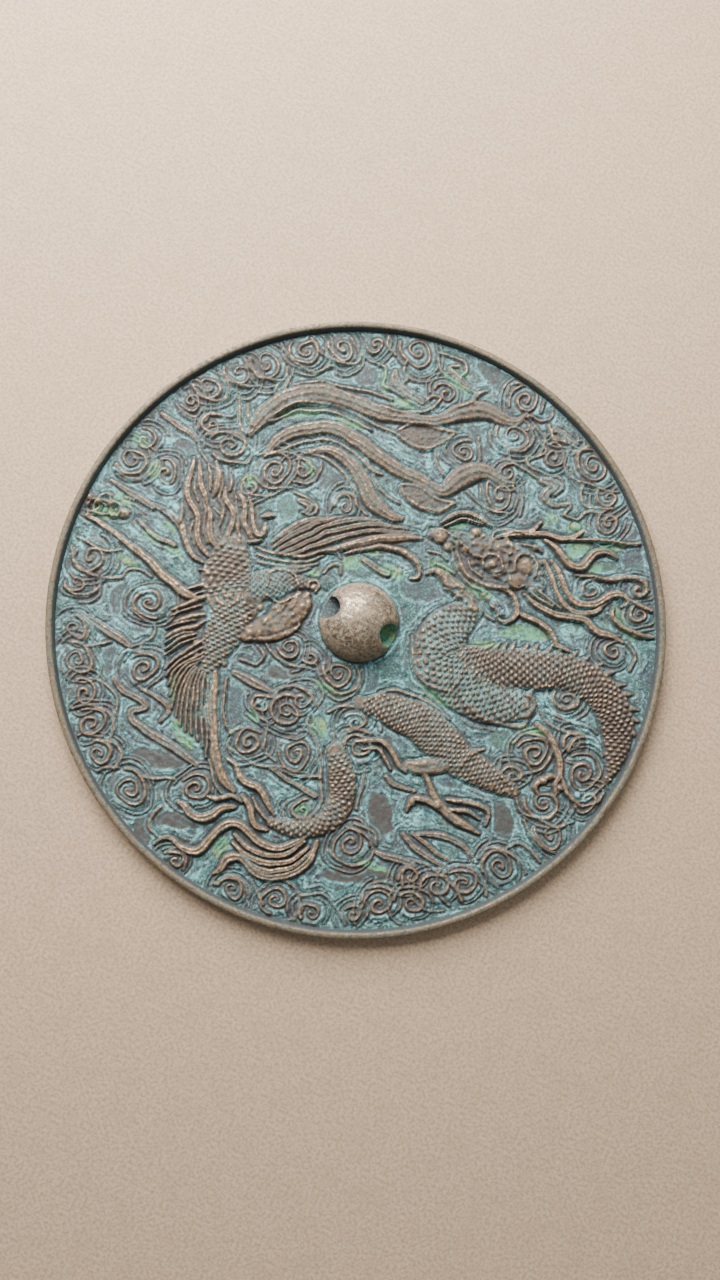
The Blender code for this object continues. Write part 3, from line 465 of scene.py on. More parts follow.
# Dragon: every form as x, y, width along its middle
dragonRelief = {
    "manner": {
        "legs": dict(height=1.25, pattern="comb", pitch=2, depth=-0.2, tan=0.75, dark=0.3),
        "coil": dict(height=1.6, pattern="scales", pitch=1.6, depth=0.65, tan=0.55, dark=0.4),
        "strands": dict(height=1.3, pattern="comb", pitch=2, depth=-0.4, tan=0.9),
        "tuft": dict(height=1.3, pattern="comb", pitch=2, depth=-0.4, tan=0.9),
        "edges": (0.5, 0.6),
        "faceLines": (0.6, 0.65),
        "clawBosses": (1, 0.8),
        "beads": (0.45, 0.9),
    },
    "bodyHeight": 1.7,
    "bodyTan": 0.7,
    "headGrain": (1.9, 0.6),        # pitch, depth
    "spines": {"count": 17, "first": 0.12, "spread": 0.68, "sink": 0.3, "length": 2.2, "lean": 0.6,
               "widths": (1.7, 1.2, 0.4), "height": 0.8, "tan": 0.5},
    "coil": [[(27, 3, 7), (21.5, -2, 11.5), (19.6, -8.5, 13.4), (25.6, -15, 13.4), (32.4, -18.8, 12),
              (39.6, -20.2, 7.4)]],
    # the visible stretches of the body, with scale pitch, scale depth and darkness
    "body": [
        ([(23.6, -6.6, 4), (28, -9.6, 8.6), (33, -11.2, 10.2), (41, -11.3, 9.4), (50, -12.2, 9.2),
          (57, -15.2, 9.2), (61.4, -20.8, 9), (62.9, -27, 7.6), (62, -33.5, 4.6), (59.8, -38, 2)],
         1.5, 0.75, 1),
        ([(0.5, -19.5, 3.5), (7, -21, 7.5), (14, -24, 9.4), (19.5, -28.5, 9.8), (24.5, -33.5, 8.4),
          (30.5, -37, 6.8), (37, -40.5, 3.6)], 1.35, 0.6, 0.9),
        ([(-5.5, -31, 4.4), (-4.2, -37, 6.6), (-4.4, -43, 6.6), (-8.2, -47.8, 5.6), (-14.5, -49.2, 4.6),
          (-21, -48, 2.6)], 1.45, 0.6, 0.8),
    ],
    "edges": [
        [(27, -21, 0.9), (30, -23.4, 1.2), (33.6, -24.6, 1.2), (37.6, -25.2, 1.3), (40.4, -24.8, 1.2),
         (41, -22, 1.2), (40.6, -19.4, 1.3), (41.6, -16.8, 1.3), (43.6, -15.5, 1.2), (47, -15.3, 0.9)],
        [(13, -3.4, 0.9), (12.8, -8, 1), (13.6, -12, 1), (16.2, -15, 1), (20, -16.4, 1), (23.6, -16.8, 0.9)],
        [(21.6, -10.4, 0.8), (21.8, -13.2, 1), (22.8, -15.6, 0.9)], [(25, -12, 0.8), (24, -14.4, 1),
                                                                     (22.8, -15.8, 0.9)],
        [(2, -18.6, 0.9), (8, -16.6, 1), (13, -17.6, 1), (18, -20.4, 1), (22, -23.4, 0.8)],
        [(-8.8, -31, 0.9), (-9.4, -38, 1), (-8.8, -43, 1), (-11.4, -46.2, 0.9), (-15, -46.8, 0.8)],
        [(24.6, -34.2, 1.3), (27, -31.8, 1.5), (30.2, -30.6, 0.9)],
        [(34.4, -33.4, 1), (33.8, -36, 1.2), (35, -38.6, 1)],
        [(1.2, -35.4, 0.8), (0.6, -40, 0.9), (-0.6, -44.6, 0.8)],
    ],
    # parts of the head, with height, darkness and tan
    "head": [
        ([(17.8, 21.6, 2.4), (21, 21.2, 4), (25, 20, 5.4), (29, 18.4, 7.4), (35.5, 15.6, 10), (40.5, 13, 9),
          (43.6, 9.6, 5)], 1.15, 0.1, 0.25),
        ([(16.8, 12.4, 1.2), (19.4, 12.4, 2), (21.6, 10.6, 3), (24, 8.8, 3), (26.6, 6.2, 2.6),
          (28.3, 3.4, 2.2), (28, 1.4, 1)], 1.2, 0.35, 0.7),
        ([(30, 8, 1.6), (32.4, 5.4, 3), (34.4, 2.6, 2.6)], 0.7, 0.1, 0.2),
        ([(33, 20.6, 1.2), (34.2, 18.6, 2), (36.8, 16.8, 1.4)], 1.5, 0.2, 0.7),
        ([(35.6, 21.4, 1), (36.8, 19.4, 1.8), (38.6, 18, 1.2)], 1.5, 0.2, 0.7),
    ],
    # x, y, radius, height, tan
    "bosses": [
        (20, 21.5, 1.9, 1, 0.9), (22, 18.7, 1.3, 0.8, 0.7), (28.7, 22.5, 1.3, 1, 0.9),
        (30.3, 21.6, 0.8, 0.8, 0.7), (32.4, 14.5, 1.2, 0.8, 1), (40.5, 13.9, 2.2, 1, 1),
        (38.2, 10.6, 1.8, 0.8, 0.9), (36.4, 19.4, 0.9, 0.6, 0.6), (26, 17.8, 0.9, 0.7, 0.7),
        (43.2, 18.4, 0.8, 0.6, 0.7), (31, 18.8, 1.1, 0.6, 0.6), (44.6, 15, 0.8, 0.6, 0.7),
        (44.6, 12, 0.8, 0.7, 0.7), (28.4, 19.6, 0.7, 0.5, 0.5), (53.6, 24, 1.2, 0.5, 0.2),
        (30, 12.2, 0.7, 0.5, 0.5), (28, 14.6, 0.8, 0.5, 0.4), (41.6, 9.8, 0.9, 0.5, 0.6),
        (24.4, 6.4, 0.9, 0.6, 0.7), (27.6, 3.8, 1, 0.7, 0.9), (24.6, 21.6, 0.7, 0.5, 0.5),
        (33.6, 11.6, 0.7, 0.5, 0.5), (36, 13.8, 0.7, 0.4, 0.5), (56.2, 22.4, 0.8, 0.4, 0.2),
    ],
    "faceLines": [
        [(17.6, 23, 0.7), (20.6, 23, 0.9), (23.4, 21.2, 0.9), (25.4, 19, 0.9), (27.6, 17, 0.9),
         (30, 16.2, 0.8)],
        [(24, 20, 0.8), (24, 17, 1), (25, 14, 1.2), (27, 11.2, 1.2), (30, 9.5, 1.3), (33.6, 8.8, 1.2),
         (36.6, 8.8, 0.8)],
        [(22.8, 17.8, 0.6), (23.2, 15, 0.7), (25, 11.6, 0.8), (27.6, 8.8, 0.8), (30.6, 7.6, 0.6)],
        [(30.4, 13, 0.6), (30.4, 15.8, 0.8), (32, 17, 0.8), (34.4, 15.6, 0.8), (34.8, 13.2, 0.7),
         (33.4, 12.2, 0.6)],
        [(37.6, 12.8, 0.7), (38, 15.4, 0.9), (40, 16.8, 0.9), (42.6, 16.2, 0.9), (43.6, 13.8, 0.9),
         (42.6, 11.4, 0.7)],
        [(32.4, 21, 0.7), (33.2, 22.5, 0.9), (35.6, 23, 1), (38.4, 22.7, 0.9), (40.4, 22.2, 0.7)],
        [(36.6, 11.6, 0.7), (36.8, 9.6, 0.9), (38.4, 8.6, 0.8), (40.4, 9.4, 0.6)],
        [(26.6, 15.6, 0.6), (27.6, 13, 0.8), (30, 11, 0.7)], [(39, 19.6, 0.7), (42, 19, 0.9),
                                                              (45, 17.6, 0.7)],
        [(18.6, 14.4, 0.6), (21, 13.6, 0.8), (23.4, 12, 0.7)], [(17, 17.6, 0.6), (19.6, 17, 0.8),
                                                                (21.4, 15.4, 0.6)],
        [(21, 8.6, 0.7), (23.8, 7.2, 0.9), (26, 5, 0.7)], [(30.6, 7, 0.6), (32, 4.4, 0.8), (33.6, 2.8, 0.6)],
        [(30, 3.4, 0.6), (31.2, 1.6, 0.8), (33, 0.6, 0.6)],
    ],
    "strands": [
        [(46, 20.2, 1.2), (48.2, 18.8, 1.7), (50.2, 16.2, 2), (52.2, 14.1, 2.1), (54.6, 13.6, 2.1),
         (56.4, 15, 2.1), (58.4, 17.4, 2.1), (61, 17.9, 1.8), (63.8, 16.4, 0.9)],
        [(47.2, 15.4, 1), (49.2, 12.6, 1.7), (50.4, 9, 1.8), (51.9, 6.4, 1.9), (54, 4.7, 1.9), (57, 4.2, 1.9),
         (59.4, 5.1, 1.9), (62, 7, 2), (64.6, 7, 1.7), (66, 5.6, 1.4), (65.6, 4.2, 0.8)],
        [(45.4, 15.6, 1), (47, 12.2, 1.5), (48.1, 8.6, 1.5), (49.6, 5.4, 1.5), (52.2, 3.1, 1.5),
         (55, 2.3, 1.4), (58, 2.8, 1.3), (60.6, 4.6, 0.7)],
        [(40.6, 7, 1), (43, 4.7, 1.6), (46, 2.9, 1.8), (49, 1.8, 1.9), (52.4, 1.4, 1.9), (55.2, 0.7, 1.9),
         (57.2, -1, 1.9), (59.2, -2.7, 1.9), (61.6, -3, 1.6), (64.6, -4.6, 0.8)],
        [(38.4, 2.9, 1), (41, 1.3, 1.5), (44, 0, 1.5), (46.4, -1.6, 1.6), (47.5, -3.6, 1.5), (48, -5.6, 1.4),
         (49.6, -6.4, 1.2), (51.8, -7.2, 0.8)],
        [(42.8, 9.4, 0.7), (46, 6, 0.9), (49.6, 3.6, 0.7)], [(42, 8, 0.7), (44.6, 5.5, 0.9), (47.4, 4, 0.7)],
        [(34.6, 8.7, 1), (36.8, 7.6, 1.4), (38.3, 5.4, 1.5), (38.4, 2.8, 1.4), (37, 0.7, 1.3), (35, 0.3, 1.1),
         (33.6, 1.6, 0.8)],
        [(20.2, 24.8, 0.8), (22.6, 26.4, 1.3), (25.6, 27.1, 1.4), (28.6, 26.5, 1.3), (32.4, 24, 0.8)],
        [(21, 24, 0.6), (23.6, 25, 0.8), (26.6, 25.5, 0.9), (30.4, 24.6, 0.6)],
        [(33.8, 21.2, 1.1), (38, 22, 1.7), (42, 22.3, 1.7), (46, 21.8, 1.6), (50, 21, 1.5), (53, 21.6, 1.4),
         (55.2, 23, 1)],
        [(41, 22.6, 0.9), (43.4, 23.2, 1.1), (45, 24.8, 0.8)],
        [(50.4, 20.9, 0.7), (55, 20.7, 0.9), (60, 20.8, 1), (65, 20, 0.9), (69.4, 19.8, 0.7)],
        [(53.6, 11.6, 0.7), (58, 11.6, 0.9), (62, 10.8, 1.2), (66, 11.4, 1.2), (69, 11, 1.1), (70.8, 9, 1),
         (70.2, 7, 1), (68.4, 6.6, 0.9), (67.9, 8, 0.9), (69.2, 9, 0.7)],
        [(66.4, 5.6, 0.8), (69, 4.1, 1.1), (72, 3.2, 0.9)],
        [(62.5, 3.8, 0.8), (62.3, 1.4, 1.1), (64.2, -0.7, 1.2), (66.8, -1.8, 1.2), (69.5, -3, 1.1),
         (72.2, -3.2, 0.8)],
        [(-1, -28.7, 0.9), (3.6, -28.3, 1.3), (6.4, -29.2, 1.5), (7.9, -31.6, 1.5), (9.4, -34.2, 1.4),
         (11.4, -35.8, 1)],
        [(1, -30.6, 0.8), (4.4, -30.2, 1), (6, -32.4, 1), (7.6, -35.2, 0.8)],
    ],
    "legs": [
        [(23.4, -33.6, 4.4), (15, -34.8, 4), (12, -34.4, 2.6)],
        [(15.3, -35.8, 1.6), (17, -39.5, 1.7), (18.6, -42.7, 2.1), (21.2, -46, 2.5), (24.6, -48.5, 2.3),
         (28.8, -50.6, 1)],
        [(21.2, -42.6, 1), (25.6, -43.4, 1.3), (29.4, -44, 1.3), (31.3, -46, 1.2), (30.4, -48.6, 0.8)],
        [(21.6, -45, 1), (26, -45.6, 1.4), (28.8, -47, 0.8)],
        [(19.8, -45.4, 1.1), (17.8, -43.6, 1.6), (15.4, -42.4, 1.7), (12.8, -42.6, 1.5), (11.4, -45.4, 0.8)],
        [(43.4, -24.8, 1.5), (45.8, -27.2, 2), (47.6, -30.4, 2), (48.7, -34, 1.9), (48.4, -37, 1.7),
         (47, -39, 1.5), (47.4, -41.6, 0.9)],
        [(46.8, -37.2, 1.3), (43.8, -37.9, 1.6), (42.2, -39.6, 1.5), (43, -41.8, 0.8)],
        [(48.8, -37.4, 1.2), (50.2, -41.4, 1.2), (53, -43.8, 0.8)],
    ],
    "clawBosses": [(44, -38.1, 1), (48.2, -39.8, 1), (46, -37, 0.9), (18.6, -43.6, 1.1), (12.6, -43.4, 0.9)],
    "beads": [(37.2, -41, 0.7), (35.4, -40.6, 0.8), (33.6, -40.5, 0.9), (31.6, -39.4, 0.8),
              (29.6, -38.6, 0.7), (34.6, -38.6, 0.7), (32.6, -37.4, 0.7), (27.6, -37.6, 0.6),
              (-1.4, -39.6, 0.8), (-1.8, -42, 0.9), (-2.4, -44.2, 0.9), (-3.8, -46.2, 0.9),
              (-5.6, -47.6, 0.9), (-7.8, -48.4, 0.8), (-3.6, -42.6, 0.8), (-4.6, -44.8, 0.8),
              (-1.6, -37, 0.7), (-3.4, -35.4, 0.6)],
    "tuft": [
        [(-43.4, -42.9, 0.8), (-41.4, -43.9, 1.8), (-39.6, -45.7, 2.1), (-37.2, -46.7, 2.2),
         (-34.8, -46, 2.2), (-32.8, -44.5, 2), (-29.4, -44.2, 1.2)],
        [(-48.6, -52.8, 0.7), (-46, -51, 1.1), (-43.6, -51.8, 1.2), (-42, -53.4, 1.7), (-39.6, -54.6, 2.1),
         (-37.2, -54.1, 2.3), (-35.3, -51.8, 2.3), (-33.6, -49.3, 2.2), (-31, -48, 2.2), (-28, -48.7, 2.1),
         (-25.6, -50.8, 2), (-23, -53, 2), (-19.6, -53.8, 1.9), (-15.6, -52.8, 1.7), (-12.6, -51.2, 1)],
        [(-34.4, -59.6, 0.8), (-32.6, -58.7, 1.5), (-31, -56.4, 2.1), (-28.6, -55.7, 2.1), (-26.4, -57.6, 2),
         (-23.4, -59.8, 2), (-19.4, -60.6, 2), (-15, -59.5, 2), (-11.7, -56.6, 1.9), (-10.1, -52.4, 1.3)],
        [(-29.4, -50.8, 1), (-26, -54, 1.6), (-21.5, -55.6, 1.7), (-17, -55, 1.6), (-13, -52.4, 1)],
        [(-29.8, -52.8, 1), (-26, -56, 1.6), (-21.4, -57.3, 1.7), (-16.4, -56.8, 1.6), (-12.2, -53.8, 1)],
        [(-28, -55, 1), (-24.6, -58, 1.5), (-20, -59.1, 1.6), (-15.6, -58.2, 1.5), (-11.6, -54.8, 1)],
        [(-27.6, -41.6, 1.2), (-26, -44, 1.8), (-25.6, -46.6, 1.8), (-24.3, -48.9, 1.6), (-22, -49.8, 0.9)],
        [(-29.8, -33.8, 1), (-28.4, -36.8, 1.7), (-26.6, -38.8, 1.9), (-24.2, -39.7, 1.9),
         (-22.4, -41.5, 1.9), (-21.4, -44, 1.6), (-20.3, -46.4, 0.8)],
        [(-31.4, -32.8, 0.8), (-29.4, -34.4, 1.2), (-28.8, -37.4, 0.8)],
        [(-36, -41.4, 0.8), (-33.4, -42.2, 1.2), (-30, -41.6, 1.2), (-27.8, -43, 0.8)],
        [(-25.2, -41.8, 0.7), (-23.8, -45, 1.1), (-21.4, -48, 0.7)],
    ],
}


def drawSpines():
    # a row of spines stands on the outer side of the longest stretch of the body
    spines = dragonRelief["spines"]
    back = flowing(dragonRelief["body"][0][0])
    for index in range(spines["count"]):
        spot = int(len(back) * (spines["first"] + spines["spread"] * index / (spines["count"] - 1)))
        run = back[spot + 1, :2] - back[spot, :2]
        run = run / np.hypot(*run)
        outward = np.array([-run[1], run[0]])
        root = back[spot, :2] + outward * (back[spot, 2] / 2 - spines["sink"])
        tip = root + spines["length"] * (outward + spines["lean"] * run) / 1.16
        middle = 0.5 * (root + tip)
        line = [(*point, width) for point, width in zip((root, middle, tip), spines["widths"])]
        drawForm(flowing(line), spines["height"], tan=spines["tan"])


def drawDragon():
    look = dragonRelief
    drawSets(look, "legs", "coil")
    for points, pitch, depth, dark in look["body"]:
        drawForm(flowing(points), look["bodyHeight"], "scales", pitch, depth, look["bodyTan"], dark)
    for points, height, dark, tan in look["head"]:
        drawForm(flowing(points), height, "grain", *look["headGrain"], tan, dark)
    drawSpines()
    drawSets(look, "edges", "strands", "tuft")
    for boss in look["bosses"]:
        drawBoss(*boss)
    drawSets(look, "faceLines", "clawBosses", "beads")


# Phoenix: the same way
phoenixRelief = {
    "manner": {
        "flames": dict(height=1.1, pattern="comb", pitch=2, depth=-0.3, tan=0.75),
        "lenses": dict(height=0.6, pattern="grain", pitch=0.7, depth=0.15, tan=0.35, dark=0.8),
        "wing": dict(height=0.95, pattern="comb", pitch=2, depth=-0.25, tan=0.45, dark=0.4),
        "longWing": dict(height=1.15, pattern="comb", pitch=3, depth=0.15, tan=0.7, dark=0.3),
        "shoulder": dict(height=1.1, pattern="comb", pitch=1, depth=0.15, tan=0.65),
        "lowerWing": dict(height=1.1, pattern="comb", pitch=1, depth=0.15, tan=0.65),
        "legs": dict(height=1.35, pattern="comb", pitch=2, depth=-0.25, tan=0.9),
        "flame": dict(height=1.4, pattern="grain", pitch=2.4, depth=0.5, tan=0.85, dark=0.6),
        "edges": (0.55, 0.7),
        "clawBosses": (1, 0.8),
        "beads": (0.5, 0.9),
    },
    "bodyDark": 0.6,
    "plume": dict(height=1.25, pattern="comb", pitch=3, depth=0.22, tan=0.6, dark=0.6),
    "clawRing": dict(width=0.8, height=0.7, tan=0.6),
    "rays": (22, 0.2),              # on the disc beside the head: how many, how high
    # stretches of the body, with height, scale pitch, scale depth and tan
    "body": [
        ([(-30.6, 18.6, 7), (-31.4, 14.6, 11), (-32, 10.6, 12.6), (-31.6, 6.6, 12)], 1.7, 1.7, 0.6, 0.75),
        ([(-29.6, 5.6, 10.6), (-31, 1.6, 11.2), (-33, -3.2, 9.4), (-35.2, -8, 6.6), (-36.6, -12.2, 3.4)],
         1.6, 1.45, 0.7, 0.8),
        ([(-30, 8.4, 7), (-26, 8.4, 7.4), (-21.6, 9.2, 7.6), (-17.4, 10, 6), (-12.6, 9.6, 3)],
         1.2, 1.15, 0.4, 0.3),
    ],
    # the comb of flame before the breast, then the disc by the head as x, y, radius
    "flame": [
        [(-29.4, -3, 2.4), (-26.4, -2.6, 4.6), (-22.6, -1.4, 5.4), (-18.6, -0.2, 5.6), (-15.6, 1.8, 5),
         (-13.8, 4.4, 4.4), (-12.8, 6.8, 1.8)],
        [(-21.6, 0.6, 1.8), (-19.6, 3, 2.8), (-18.2, 4.6, 2.6), (-17, 6, 1.2)], [(-18, 2, 2), (-15.4, 5, 3),
                                                                                 (-14.6, 7, 1.4)],
        [(-26.6, -4.2, 1.2), (-22, -4, 1.8), (-17.6, -2.6, 1.8), (-14.6, -0.6, 1)],
    ],
    "disc": (-18.6, 8.9, 3.1),
    "bosses": [(-11.3, 8.7, 0.9, 0.6, 0.9), (-7.6, 9.7, 2, 0.5, 0.1), (-33, 8.8, 1, 0.5, 0.8),
               (-30, 10.4, 0.9, 0.5, 0.7)],
    "beads": [(-29.4, -0.4, 0.9), (-27.8, 1.2, 0.9), (-25.7, 2.2, 1), (-24.1, 3.6, 1), (-24.2, 5, 0.8),
              (-39.4, -7.8, 0.8), (-39.2, -5, 0.7), (-22.8, 6.4, 0.7), (-32.4, -3, 0.8), (-33.4, -5.4, 0.8),
              (-35.4, -5.8, 0.7), (-32.2, -7.2, 0.8), (-30.8, -4.6, 0.7), (-34.8, -8.4, 0.8),
              (-32.4, -10, 0.7), (-36.6, -9.8, 0.7), (-31.4, -1.6, 0.7)],
    "plumeSpread": 1.25,
    "plumes": [
        [(-27, 46.4, 1.4), (-24.4, 50, 3.2), (-20.4, 53.8, 4.2), (-15, 56.4, 4.4), (-9, 57, 4),
         (-4, 55.6, 3.6), (1, 53.6, 3.5), (6, 52, 3.4), (11, 50.9, 2.9), (17, 50.4, 2.6), (21, 50.8, 2.9),
         (24.4, 52.3, 3.9), (28, 53.1, 4.4), (32, 52.9, 4), (35, 51.2, 3), (38, 50.2, 2.1), (40.2, 50.8, 1.5),
         (41.8, 52.4, 0.8)],
        [(-22.4, 42, 1.2), (-19.6, 45, 2.4), (-15, 47.4, 3), (-9, 48.3, 3), (-4, 47.1, 3), (0, 44.8, 3.2),
         (4, 41.6, 3.2), (8, 38.8, 3), (12, 36.8, 2.8), (16, 35, 2.6), (19, 33, 2.6), (21.4, 32.8, 3),
         (23.8, 34.8, 4), (26.4, 36.7, 4.7), (29.2, 37.6, 4.2), (32, 37.2, 3.2), (34.4, 36, 2.2),
         (36.4, 35, 1.5), (38.4, 34.8, 0.7)],
        [(-12.4, 42.4, 1), (-7, 42.2, 2), (-2, 39.2, 2.8), (0.8, 34.8, 3.4), (2.6, 31, 3.6), (5, 28, 3.2),
         (8, 26.2, 2.2), (10.6, 25.6, 1)],
    ],
    "edges": [
        [(-29.6, 55.4, 0.8), (-29.4, 52, 1.3), (-29, 49, 1.3), (-27.6, 46.4, 0.9)],
        [(-27.4, 54, 0.7), (-27.2, 51, 1.1), (-26.2, 48.4, 0.9)],
        [(-20.6, 51.6, 0.7), (-15, 54.2, 0.8), (-8, 54.2, 0.8), (-2, 52.2, 0.8), (4, 49.2, 0.8),
         (9, 47, 0.7)],
        [(-22, 49.6, 0.7), (-15, 52.4, 0.8), (-8, 52.4, 0.8), (-2, 50.4, 0.8), (3, 47.8, 0.7)],
        [(-18.4, 58.2, 0.9), (-17.6, 60, 1.2), (-17, 61.2, 0.6)], [(-21, 57, 0.8), (-20.4, 58.6, 0.9),
                                                                   (-19.8, 59.4, 0.5)],
        [(-16, 59.3, 0.7), (-11, 60.1, 0.9), (-6, 59.2, 1), (-1, 58.2, 1), (4, 57.2, 0.9), (8, 55.4, 0.7)],
        [(5.6, 54, 0.7), (10, 52.7, 0.9), (15.6, 52.8, 0.9), (18.6, 54, 1), (20.4, 56, 0.8)],
        [(17, 55.6, 0.8), (18.4, 56.8, 0.9), (20.2, 56.4, 0.6)],
        [(-22, 41, 0.7), (-17, 43.4, 0.9), (-11, 45.2, 0.9), (-5, 44.2, 0.9), (0, 40.8, 0.9), (3, 37.4, 0.7)],
        [(-14, 42.2, 0.7), (-8.4, 40.4, 0.9), (-3.8, 37, 0.9), (-1.4, 33, 0.9), (-0.2, 29, 0.9),
         (2, 26.4, 0.7)],
        [(3.4, 36.4, 0.8), (5, 33.4, 1), (7.4, 31, 0.9), (9.8, 29.6, 0.7)],
        [(1.6, 40.4, 0.7), (3.4, 37.4, 0.9), (5.6, 36.6, 0.7)],
        [(10, 47.8, 0.8), (13, 49.1, 1.1), (16.6, 49.2, 1.2), (20, 48.4, 1.1), (23.8, 47.4, 0.9)],
        [(9.8, 46.6, 0.8), (12.6, 44.4, 1.1), (16.4, 43.3, 1.2), (20.4, 44.6, 1.1), (23.8, 47.2, 0.9)],
        [(10.4, 34.2, 0.8), (13.6, 34.1, 1.1), (16.8, 32.4, 1.2), (19.4, 30.6, 1.2), (23.4, 29.4, 0.9)],
        [(10.4, 34, 0.8), (11.6, 30.8, 1.1), (15, 28.3, 1.2), (19.4, 27.5, 1.2), (23.2, 29.2, 0.9)],
        [(24.4, 53.8, 0.9), (28, 55.2, 1.3), (30, 57.4, 1.3), (32.4, 58.3, 0.7)],
        [(-25.4, 18.2, 0.7), (-20, 16.8, 1), (-14, 16.2, 1.1), (-9, 17.4, 1.1), (-6, 17.4, 1.1),
         (-4.6, 15.6, 0.7)],
        [(-25, 16.6, 0.7), (-19, 15.1, 1), (-13, 15, 1), (-8.6, 16.2, 0.7)],
        [(-24.8, 14.9, 0.8), (-19, 13.7, 1.3), (-14, 13.7, 1.4), (-10, 14.4, 0.8)],
        [(-20.8, 12.9, 0.7), (-15, 12.6, 1.1), (-11.8, 13.4, 0.7)],
        [(-8.4, 12.2, 0.7), (-6.6, 14, 1), (-4.6, 14, 0.9), (-4.4, 12, 0.7)],
        [(-12.6, 8.6, 0.6), (-12, 10, 0.8), (-10.4, 10.2, 0.8), (-9.8, 8.8, 0.7), (-10.8, 7.4, 0.6)],
        [(-22.6, 8.6, 0.7), (-21.4, 12, 0.9), (-18.4, 13, 0.9), (-15.4, 11.6, 0.9), (-14.6, 8.6, 0.7)],
        [(-22.2, 6.4, 0.6), (-19.4, 5, 0.8), (-16, 6, 0.6)], [(-35.2, 28, 0.6), (-33.6, 25.5, 0.9),
                                                              (-34.4, 22.4, 0.9), (-33, 18.8, 0.7)],
        [(-43.4, 29.6, 0.6), (-43.2, 27, 0.9), (-43.6, 24.4, 0.7)], [(-40.6, 24.6, 0.6), (-40.8, 21.6, 0.9),
                                                                     (-40, 18.8, 0.7)],
        [(-40, 35.6, 0.6), (-40.2, 32.6, 0.9), (-39.4, 29.6, 0.7)], [(-37.6, 26.6, 0.6), (-37.7, 22.4, 0.9),
                                                                     (-36.8, 19, 0.7)],
        [(-33.6, 37, 0.6), (-33.4, 34, 0.9), (-34.2, 30.8, 0.9), (-33.2, 28, 0.9), (-33.8, 24, 0.7)],
        [(-30.2, 31, 0.6), (-30, 28, 0.9), (-29.2, 25.4, 0.9), (-29.8, 22, 0.7)], [(-35.4, 24, 0.6),
                                                                                   (-34.6, 20.6, 0.9),
                                                                                   (-33.4, 18.4, 0.6)],
        [(-38.2, 30, 0.6), (-37.4, 27.5, 0.8), (-37.9, 24.6, 0.8), (-37.4, 21.6, 0.8), (-36.2, 19, 0.6)],
        [(-31.4, 37.6, 0.7), (-31.2, 34.6, 1), (-31.8, 32.4, 0.8)], [(-29.4, 25.6, 0.6), (-29.8, 23, 0.8),
                                                                     (-28.8, 20.6, 0.6)],
    ],
    "lenses": [[(10.5, 47.2, 1), (13.4, 46.6, 4.6), (16.6, 46.2, 6), (20, 46.6, 4), (23.4, 47.3, 1)],
               [(10.8, 34, 1), (13, 32.2, 4), (16, 30.4, 4.8), (19.4, 29.2, 3.2), (23, 29.3, 1)]],
    "wing": [
        [(-21, 19.6, 1), (-16.6, 22.8, 1.8), (-12.6, 25, 1.6), (-8.4, 25.8, 0.9)],
        [(-21, 18.2, 1), (-15.6, 21.8, 1.8), (-9.6, 24.8, 1.6), (-4, 25.9, 0.9)],
        [(-20, 17.4, 1), (-14, 20.8, 1.8), (-7, 24, 1.7), (0, 25.2, 1.5), (5, 24.8, 0.8)],
        [(-19, 16.8, 1), (-12, 20, 1.7), (-5, 22.8, 1.6), (2, 24, 1.5), (8, 23.7, 1.2), (12, 23.2, 0.8)],
        [(-17, 16.6, 1), (-10, 19.1, 1.6), (-3, 21.6, 1.5), (4, 22.6, 1.4), (10, 22.4, 1.2), (14, 21.8, 0.8)],
    ],
    "longWing": [
        [(-10, 17.2, 1), (-4, 18.7, 2), (2, 20.1, 2.5), (7, 20.9, 2.5), (12, 21, 2), (15.2, 20.6, 1)],
        [(-3.6, 16.8, 0.9), (0, 18, 1.3), (5, 18.7, 1.5), (8.4, 18.3, 1.6), (11.4, 17.1, 1.7), (14, 15, 1.7),
         (15, 12.8, 1.4), (14.2, 11, 1.2), (12.4, 10.7, 0.8)],
    ],
    "legs": [
        [(-66, 26, 1.2), (-60, 22, 1.5), (-55, 18.2, 1.7), (-51, 14.9, 2.1), (-48, 11.8, 2.4),
         (-45, 9.4, 2.7), (-42, 7.2, 2.7), (-39.6, 5.8, 1.6)],
        [(-34.6, -12.2, 1.6), (-34.9, -18, 2.5), (-34.9, -24, 2.6), (-34.6, -29, 2.7), (-33.7, -34, 2.8),
         (-31.9, -38, 2.6), (-29.6, -40.5, 1.2)],
    ],
    "clawBosses": [(-65.2, 30.6, 0.8), (-63.4, 29.6, 1), (-60, 29, 0.9), (-57.2, 26.4, 1.3),
                   (-65.3, 26.5, 0.9), (-59.6, 26.2, 0.7)],
    "clawRings": [(-62.2, 27.8, 2.2), (-59.2, 27.4, 1.6), (-64.4, 28.4, 1.6), (-61.6, 30, 1.5)],
    "flames": [
        [(-40.6, 40.4, 0.8), (-41, 37, 1.5), (-41.7, 34, 1.6), (-41.9, 31, 1.8), (-41, 28.7, 1.9),
         (-39.8, 26.8, 1.9), (-39.2, 24, 1.9), (-39.2, 21.2, 1.9), (-38.5, 18.6, 1.8), (-36.6, 16.2, 0.9)],
        [(-46, 27, 0.8), (-44, 25, 1.5), (-42.7, 23.2, 1.8), (-42.4, 20.6, 1.8), (-41.5, 18, 1.8),
         (-40, 15.9, 1.6), (-37.8, 14.6, 0.9)],
        [(-39.4, 39.4, 0.8), (-38.8, 36, 1.7), (-38.6, 33.4, 1.8), (-37.6, 31, 1.7), (-37, 29, 0.9)],
        [(-36.8, 29, 0.8), (-36.2, 26, 1.8), (-36.4, 23.4, 1.9), (-36, 20.8, 1.9), (-34.8, 18.6, 1.6),
         (-33.2, 17.4, 0.8)],
        [(-34.8, 39.6, 0.9), (-34.5, 36.4, 2), (-34.9, 33.4, 1.9), (-35.6, 31, 0.9)],
